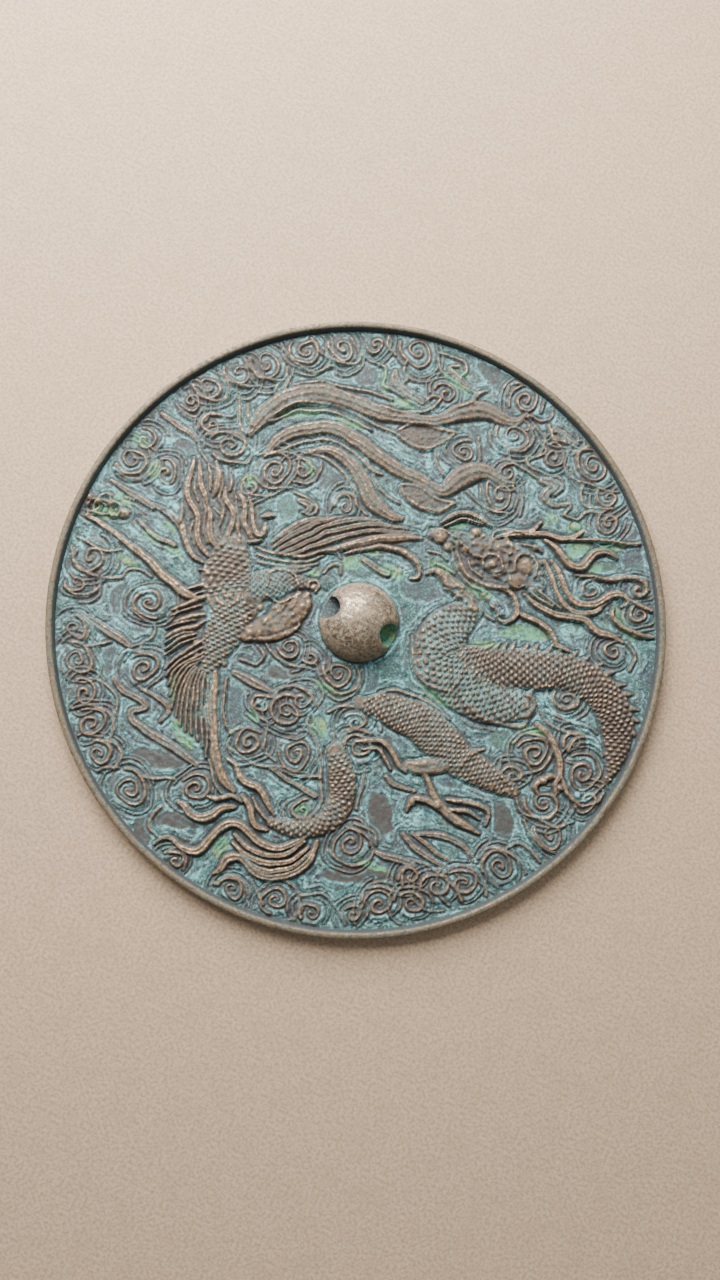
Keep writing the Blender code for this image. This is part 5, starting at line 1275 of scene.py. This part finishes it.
def tunnelDistance(y, z):
    # signed distance to the arched tunnel, seen along X; negative inside it
    half, corner, floor, spring = tunnelSection()
    aside, below = np.abs(y) - (half - corner), floor + corner - z
    outside = np.hypot(np.maximum(aside, 0), np.maximum(below, 0))
    foot = outside + np.minimum(np.maximum(aside, below), 0) - corner
    return np.where(z > spring, np.hypot(y, z - spring) - half, foot)


def knobPiece():
    # the cord knob: a turned dome with an arched tunnel cut through it
    field = mirror["fieldHeight"]
    r, tall, rings = knobShape["radius"], knobShape["height"], knobShape["rings"]
    profile = [(r * sin(pi / 2 * k / rings), field + tall * cos(pi / 2 * k / rings)) for k in range(rings)]
    profile += [(r, field + 0.06), (r + 0.02, field - 0.35), (r - 2.2, field - 0.6), (0, field - 0.6)]
    knob = turnedPiece("cord_knob", profile, knobShape["steps"])
    points = readPoints(knob.data) / mm
    x, y, z = points.T
    # the dome is sunk a little at the tunnel's lips, and pitted
    shell = z > field - 0.1
    near = np.clip(1 - np.abs(tunnelDistance(y, z)) / knobShape["lip"], 0, 1)
    lip = knobShape["lipDepth"] * near ** 2 * (np.abs(x) > 3) * shell
    rough = driftNoise(x + 3, y + z, 1.4, 51) * 0.035 + driftNoise(x, y + z, 0.6, 52) * 0.02
    outward = points - (0, 0, field)
    inward = (lip + 0.05 - rough * shell) / np.maximum(1, np.linalg.norm(outward, axis=1))
    points = points - outward * (inward * shell)[:, None]
    writePoints(knob.data, points * mm)
    cutTunnel(knob)
    x, y, z = readPoints(knob.data).T / mm
    away = np.hypot(x, y) / r
    surface = np.sqrt(away ** 2 + np.clip((z - field) / tall, 0, 1) ** 2)
    reach = tunnelDistance(y, z)
    within = (reach < 0.04) * softStep(0.985 - surface, 0, 0.03)
    lipEdge = bell(reach, 0, 0.5) * (1 - within) * (away > 0.5)
    # painted highlight at the dome's middle, with painted shade towards its edge and on one side; painted
    # shade round its foot, at the tunnel's lips and inside the left mouth
    shadedSide = softStep(x * 0.5 - y * 0.87, -4, 10)
    edge = softStep(away, 0.62, 0.98)
    footAndLipShade = np.clip(softStep(away, 0.95, 1.0) * 0.7 + 0.45 * lipEdge * (away > 0.9), 0, 1) * (1 - within)
    addMasks(knob.data,
             crest=np.clip(0.95 - 0.75 * edge - 0.2 * shadedSide, 0, 1) * (1 - within),
             crevice=footAndLipShade + 0.5 * within * (x < 0),
             bronze=1 - within,
             brown=np.clip(0.85 * edge + 0.3 * shadedSide, 0, 1) * (1 - within),
             bloom=within * (x > 0) * 1.0,
             crust=within * (x > 0) * 0.6)
    knob.data.shade_smooth()
    knob.data.set_sharp_from_angle(angle=radians(knobShape["sharpAngle"]))
    return knob


def cutTunnel(knob):
    cutter = tunnelCutter()
    cut = knob.modifiers.new("tunnel", "BOOLEAN")
    cut.operation = "DIFFERENCE"
    cut.solver = "EXACT"
    cut.object = cutter
    graph = bpy.context.evaluated_depsgraph_get()
    hollowed = bpy.data.meshes.new_from_object(knob.evaluated_get(graph))
    knob.modifiers.clear()
    knob.data = hollowed
    bpy.data.objects.remove(cutter, do_unlink=True)


def tunnelCutter():
    half, corner, floor, spring = tunnelSection()
    arch, bends = knobShape["archSteps"], knobShape["cornerSteps"]
    outline = [(half * cos(pi * k / arch), spring + half * sin(pi * k / arch)) for k in range(arch + 1)]
    for centre, start in ((corner - half, pi), (half - corner, 1.5 * pi)):
        turns = [start + 0.5 * pi * k / bends for k in range(bends + 1)]
        outline += [(centre + corner * cos(turn), floor + corner + corner * sin(turn)) for turn in turns]
    bm = bmesh.new()
    reach = knobShape["radius"] + 3
    end = bm.faces.new([bm.verts.new((-reach * mm, y * mm, z * mm)) for y, z in outline])
    pushed = bmesh.ops.extrude_face_region(bm, geom=[end])["geom"]
    farVerts = [item for item in pushed if isinstance(item, bmesh.types.BMVert)]
    bmesh.ops.translate(bm, vec=(2 * reach * mm, 0, 0), verts=farVerts)
    slices, apart = knobShape["slices"]
    for step in range(-slices, slices + 1):
        everything = bm.verts[:] + bm.edges[:] + bm.faces[:]
        bmesh.ops.bisect_plane(bm, geom=everything, plane_co=(apart * step * mm, 0, 0), plane_no=(1, 0, 0))
    bmesh.ops.recalc_face_normals(bm, faces=bm.faces)
    return objectFrom(bm, "tunnel_cutter")


# Finish of the casting: patina in the hollows, worn metal on what stands up, a painted highlight on the
# highest crests and painted shade in the creases
finish = {
    "teal": (0.032, 0.115, 0.122),
    "slate": (0.06, 0.072, 0.108),
    "dusk": (0.035, 0.05, 0.058),
    "cyan": (0.27, 0.68, 0.70),
    "mint": (0.13, 0.43, 0.25),
    "leaf": (0.26, 0.40, 0.13),
    "earth": (0.072, 0.053, 0.04),
    "bronze": (0.18, 0.11, 0.057),
    "worn": (0.40, 0.26, 0.145),
    "creamHighlight": (0.58, 0.44, 0.285),
    "rim": (0.19, 0.145, 0.085),
    "rimHighlight": (0.32, 0.25, 0.15),
    "roseHighlight": (0.60, 0.51, 0.43),
    "brass": (0.35, 0.265, 0.17),
    "black": (0.05, 0.053, 0.057),
    "hiddenDark": (0.20, 0.17, 0.12),     # of the reflecting face
    "hiddenPale": (0.34, 0.29, 0.2),
}


class NodeSketch:
    # short hand for adding and joining nodes in one tree
    def __init__(self, tree):
        self.tree = tree

    def add(self, kind, **values):
        node = self.tree.nodes.new(kind)
        for key, value in values.items():
            setattr(node, key, value)
        return node

    def link(self, source, target):
        self.tree.links.new(source, target)

    def feed(self, socket, value):
        if isinstance(value, (int, float)):
            socket.default_value = value
        elif isinstance(value, tuple):
            socket.default_value = (*value, 1)
        else:
            self.link(value, socket)

    def noise(self, place, scale, detail, rough, twist=0):
        node = self.add("ShaderNodeTexNoise")
        keys = ("Scale", "Detail", "Roughness", "Distortion")
        for key, number in zip(keys, (scale, detail, rough, twist)):
            node.inputs[key].default_value = number
        self.link(place, node.inputs["Vector"])
        return node.outputs["Fac"]

    def span(self, value, low, high, toLow=0, toHigh=1):
        node = self.add("ShaderNodeMapRange", interpolation_type="SMOOTHSTEP")
        for key, number in (("From Min", low), ("From Max", high), ("To Min", toLow), ("To Max", toHigh)):
            node.inputs[key].default_value = number
        self.link(value, node.inputs["Value"])
        return node.outputs["Result"]

    def maths(self, operation, first, second):
        node = self.add("ShaderNodeMath", operation=operation, use_clamp=True)
        self.feed(node.inputs[0], first)
        self.feed(node.inputs[1], second)
        return node.outputs[0]

    def mix(self, share, first, second):
        node = self.add("ShaderNodeMix", data_type="RGBA")
        for index, value in ((0, share), (6, first), (7, second)):
            self.feed(node.inputs[index], value)
        return node.outputs[2]

    def group(self, tree, **sockets):
        node = self.add("ShaderNodeGroup", node_tree=tree)
        for key, source in sockets.items():
            self.link(source, node.inputs[key])
        return node.outputs

    def bump(self, height, strength, distance):
        node = self.add("ShaderNodeBump")
        node.inputs["Strength"].default_value = strength
        node.inputs["Distance"].default_value = distance
        self.link(height, node.inputs["Height"])
        return node.outputs["Normal"]


def newGroup(name, inputs, outputs):
    group = bpy.data.node_groups.new(name, "ShaderNodeTree")
    for direction, sockets in (("INPUT", inputs), ("OUTPUT", outputs)):
        for label, kind in sockets.items():
            group.interface.new_socket(label, in_out=direction, socket_type="NodeSocket" + kind)
    sketch = NodeSketch(group)
    return group, sketch, sketch.add("NodeGroupInput").outputs, sketch.add("NodeGroupOutput").inputs


def newMaterial(name):
    material = bpy.data.materials.new(name)
    material.use_nodes = True
    sketch = NodeSketch(material.node_tree)
    shader = material.node_tree.nodes["Principled BSDF"].inputs
    return material, sketch, shader, sketch.add("ShaderNodeTexCoord").outputs["Object"]


def patinaGroup():
    # colour of the corroded ground, mottled at four sizes
    group, sketch, given, made = newGroup("patina colour", {"Place": "Vector"},
                                          {"Colour": "Color", "Grain": "Float", "Specks": "Float"})
    broad = sketch.noise(given["Place"], 95, 3, 0.6)
    hue = sketch.noise(given["Place"], 330, 4, 0.65, 0.4)
    middle = sketch.noise(given["Place"], 780, 4, 0.65)
    fine = sketch.noise(given["Place"], 1900, 3, 0.7)
    grit = sketch.noise(given["Place"], 3300, 2, 0.6)
    colour = sketch.mix(sketch.span(broad, 0.38, 0.62), finish["slate"], finish["teal"])
    for pattern, low, high, strength, paint in (
            (hue, 0.52, 0.62, 0.85, "teal"), (hue, 0.45, 0.36, 0.8, "earth"),
            (middle, 0.46, 0.36, 0.75, "dusk"), (middle, 0.58, 0.7, 0.3, "cyan"),
            (fine, 0.57, 0.64, 0.6, "cyan")):
        colour = sketch.mix(sketch.span(pattern, low, high, 0, strength), colour, finish[paint])
    minty = sketch.maths("MULTIPLY", sketch.span(grit, 0.56, 0.66), sketch.span(hue, 0.44, 0.56))
    colour = sketch.mix(minty, colour, finish["mint"])
    colour = sketch.mix(sketch.span(fine, 0.45, 0.37, 0, 0.9), colour, finish["black"])
    sketch.link(colour, made["Colour"])
    sketch.link(fine, made["Grain"])
    sketch.link(sketch.span(grit, 0.46, 0.38), made["Specks"])
    return group


def wearAndHighlightGroup():
    # how far rubbing has reached through the patina; its palest part is a painted highlight
    given = {"Place": "Vector", "Crest": "Float", "Metal": "Float"}
    group, sketch, given, made = newGroup("rubbing and highlight", given, {"Wear": "Float", "PaleWearAndHighlight": "Float"})
    patchy = sketch.noise(given["Place"], 1100, 4, 0.65)
    broad = sketch.noise(given["Place"], 150, 3, 0.5)
    bare = sketch.maths("ADD", sketch.maths("MULTIPLY", given["Metal"], 0.7), 0.25)
    level = sketch.maths("MULTIPLY", given["Crest"], bare)
    level = sketch.maths("MULTIPLY", level, sketch.span(patchy, 0.38, 0.62, 0.2, 1))
    level = sketch.maths("MULTIPLY", level, sketch.span(broad, 0.3, 0.6, 0.65, 1))
    sketch.link(sketch.span(level, 0.14, 0.5), made["Wear"])
    sketch.link(sketch.span(level, 0.45, 0.85), made["PaleWearAndHighlight"])
    return group


def castBronze(name, groups, metal, worn, pale, shine, bare=0.45, blotches=0.3):
    material, sketch, shader, place = newMaterial(name)
    masks = {}
    for mask in ("crest", "crevice", "bronze", "brown", "bloom", "crust"):
        masks[mask] = sketch.add("ShaderNodeAttribute", attribute_name=mask).outputs["Fac"]
    patina = sketch.group(groups["patina"], Place=place)
    wearAndHighlight = sketch.group(groups["wearAndHighlight"], Place=place, Crest=masks["crest"], Metal=masks["bronze"])
    speckle = sketch.noise(place, 1000, 4, 0.7)
    tinted = sketch.span(sketch.noise(place, 520, 3, 0.6), 0.5, 0.62)
    crustPaint = sketch.mix(tinted, finish["cyan"], finish["teal"])
    bloomPaint = sketch.mix(tinted, finish["mint"], finish["leaf"])
    colour = patina["Colour"]
    for mask, high, least, paint in (
            ("brown", 0.56, 0.45, finish["earth"]), ("bronze", 0.6, 0.3, finish[metal]),
            ("crust", 0.52, 0.3, crustPaint), ("bloom", 0.54, 0.35, bloomPaint)):
        share = sketch.maths("MULTIPLY", masks[mask], sketch.span(speckle, 0.36, high, least, 1))
        colour = sketch.mix(share, colour, paint)
    rubbed = sketch.mix(wearAndHighlight["PaleWearAndHighlight"], finish[worn], finish[pale])
    colour = sketch.mix(wearAndHighlight["Wear"], colour, rubbed)
    colour = sketch.mix(sketch.maths("MULTIPLY", patina["Specks"], 0.75), colour, finish["earth"])
    colour = sketch.mix(sketch.span(speckle, 0.47, 0.36, 0, blotches), colour, finish["earth"])
    # painted shade: hollows, the feet of forms, the rim's inner wall and the knob's foot and lips go towards
    # black; on bare cells the same mask gives their darker ground
    colour = sketch.mix(sketch.maths("MULTIPLY", masks["crevice"], 0.85), colour, finish["black"])
    sketch.link(colour, shader["Base Color"])
    sketch.link(sketch.maths("MULTIPLY", wearAndHighlight["Wear"], bare), shader["Metallic"])
    sketch.link(sketch.span(wearAndHighlight["Wear"], 0, 1, 0.75, shine), shader["Roughness"])
    sketch.link(sketch.bump(patina["Grain"], 0.4, 0.00015), shader["Normal"])
    return material


def reflectingFace(groups):
    # the hidden face: dull polished bronze under spreading corrosion
    material, sketch, shader, place = newMaterial("reflecting face")
    patina = sketch.group(groups["patina"], Place=place)
    eaten = sketch.span(sketch.noise(place, 45, 6, 0.62, 0.6), 0.5, 0.6)
    haze = sketch.span(sketch.noise(place, 260, 4, 0.6), 0.35, 0.65)
    metalColour = sketch.mix(haze, finish["hiddenDark"], finish["hiddenPale"])
    sketch.link(sketch.mix(eaten, metalColour, patina["Colour"]), shader["Base Color"])
    sketch.link(sketch.span(eaten, 0, 1, 0.9, 0), shader["Metallic"])
    sketch.link(sketch.span(eaten, 0, 1, 0.28, 0.75), shader["Roughness"])
    sketch.link(sketch.bump(eaten, 0.3, 0.0002), shader["Normal"])
    return material


def place(piece, *materials):
    for material in materials:
        piece.data.materials.append(material)
    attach(piece, "root")
    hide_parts("bronze_mirror")
    print(piece.name, len(piece.data.polygons), "faces")


studio = {
    "tableColour": (0.64, 0.46, 0.305),
    "tableReach": 1.5,                   # metres each way
    "tableShade": 0.62,                  # how dark its darker fibres are
    "camera": (-7.7, -22.9, 225.5),      # millimetres, in the drawing
    "aim": (0.22, -4.28, 2.9),
    "focalPixels": 923,
    "picturePixels": 1280,               # its height
    # where it stands in the drawing, size in metres, power and colour
    "lamps": {"key": ((-90, 290, 240), 0.34, 6.0, (1.0, 0.97, 0.94)),
              "fill": ((380, 60, 300), 0.5, 0.4, (0.94, 0.97, 1.0))},
    "sky": 0.2,
    "skyColour": (0.95, 0.97, 1.0, 1),
}


def buildStudio():
    bm = bmesh.new()
    bmesh.ops.create_grid(bm, x_segments=1, y_segments=1, size=studio["tableReach"])
    table = objectFrom(bm, "table_top")
    material, sketch, shader, where = newMaterial("pale table")
    fleck = sketch.span(sketch.noise(where, 1300, 4, 0.75), 0.36, 0.62)
    cloudy = sketch.span(sketch.noise(where, 160, 4, 0.6), 0.3, 0.6, 0.75, 1)
    low = tuple(channel * studio["tableShade"] for channel in studio["tableColour"])
    tableColour = sketch.mix(sketch.maths("MULTIPLY", fleck, cloudy), low, studio["tableColour"])
    sketch.link(tableColour, shader["Base Color"])
    shader["Roughness"].default_value = 0.9
    table.data.materials.append(material)
    for name, (spot, size, power, colour) in studio["lamps"].items():
        light = bpy.data.lights.new(name, "AREA")
        light.size, light.energy, light.color = size, power, colour
        lamp = linked(name, light)
        lamp.location = turnedPoint(*spot)
        lamp.rotation_euler = (-lamp.location).to_track_quat("-Z", "Y").to_euler()
    world = bpy.data.worlds.new("soft room")
    bpy.context.scene.world = world
    world.use_nodes = True
    sky = world.node_tree.nodes["Background"].inputs
    sky["Color"].default_value, sky["Strength"].default_value = studio["skyColour"], studio["sky"]
    print("studio built")


def buildCamera():
    lens = bpy.data.cameras.new("camera")
    camera = linked("camera", lens)
    lens.sensor_width = 36
    lens.lens = studio["focalPixels"] / studio["picturePixels"] * lens.sensor_width
    lens.clip_start, lens.clip_end = 0.01, 10
    eye, aim, upHint = (Vector(turnedPoint(*spot)) for spot in (studio["camera"], studio["aim"], (0, 1, 0)))
    back = (eye - aim).normalized()
    right = upHint.cross(back).normalized()
    up = back.cross(right)
    camera.matrix_world = Matrix.Translation(eye) @ Matrix((right, up, back)).transposed().to_4x4()
    bpy.context.scene.camera = camera


def buildRelief(casting):
    # the height of the whole field, and the pieces that are cut from it
    drawClouds()
    print("clouds drawn")
    drawPhoenix()
    print("phoenix drawn")
    drawDragon()
    print("dragon drawn")
    groundMasks()
    reliefHeight, drawnHeight = finishedHeight()
    masks = weatherMasks(reliefHeight, drawnHeight)
    print("relief height worked out:", round(float(reliefHeight.max()), 2), "mm at its highest")
    regions = regionMap()
    for number, name in enumerate(("dragon_relief", "phoenix_relief", "upper_clouds", "lower_clouds"), 1):
        place(reliefPiece(name, number, regions, reliefHeight, masks), casting)


def buildMirror():
    groups = {"patina": patinaGroup(), "wearAndHighlight": wearAndHighlightGroup()}
    casting = castBronze("cast bronze", groups, "bronze", "worn", "creamHighlight", 0.42)
    handled = castBronze("handled bronze with painted light", groups, "brass", "brass", "roseHighlight", 0.44, 0.9, 0.5)
    rubbed = castBronze("rubbed rim with painted light", groups, "rim", "rim", "rimHighlight", 0.5, 0.4, 0.6)
    face = reflectingFace(groups)
    buildRelief(casting)
    disc = discPiece()
    place(disc, rubbed, face)
    normals = np.empty(len(disc.data.polygons) * 3)
    disc.data.polygons.foreach_get("normal", normals)
    under = (normals.reshape(-1, 3)[:, 2] < -0.9).astype(np.int32)
    disc.data.polygons.foreach_set("material_index", under)
    place(knobPiece(), handled)


buildStudio()
buildCamera()
buildMirror()
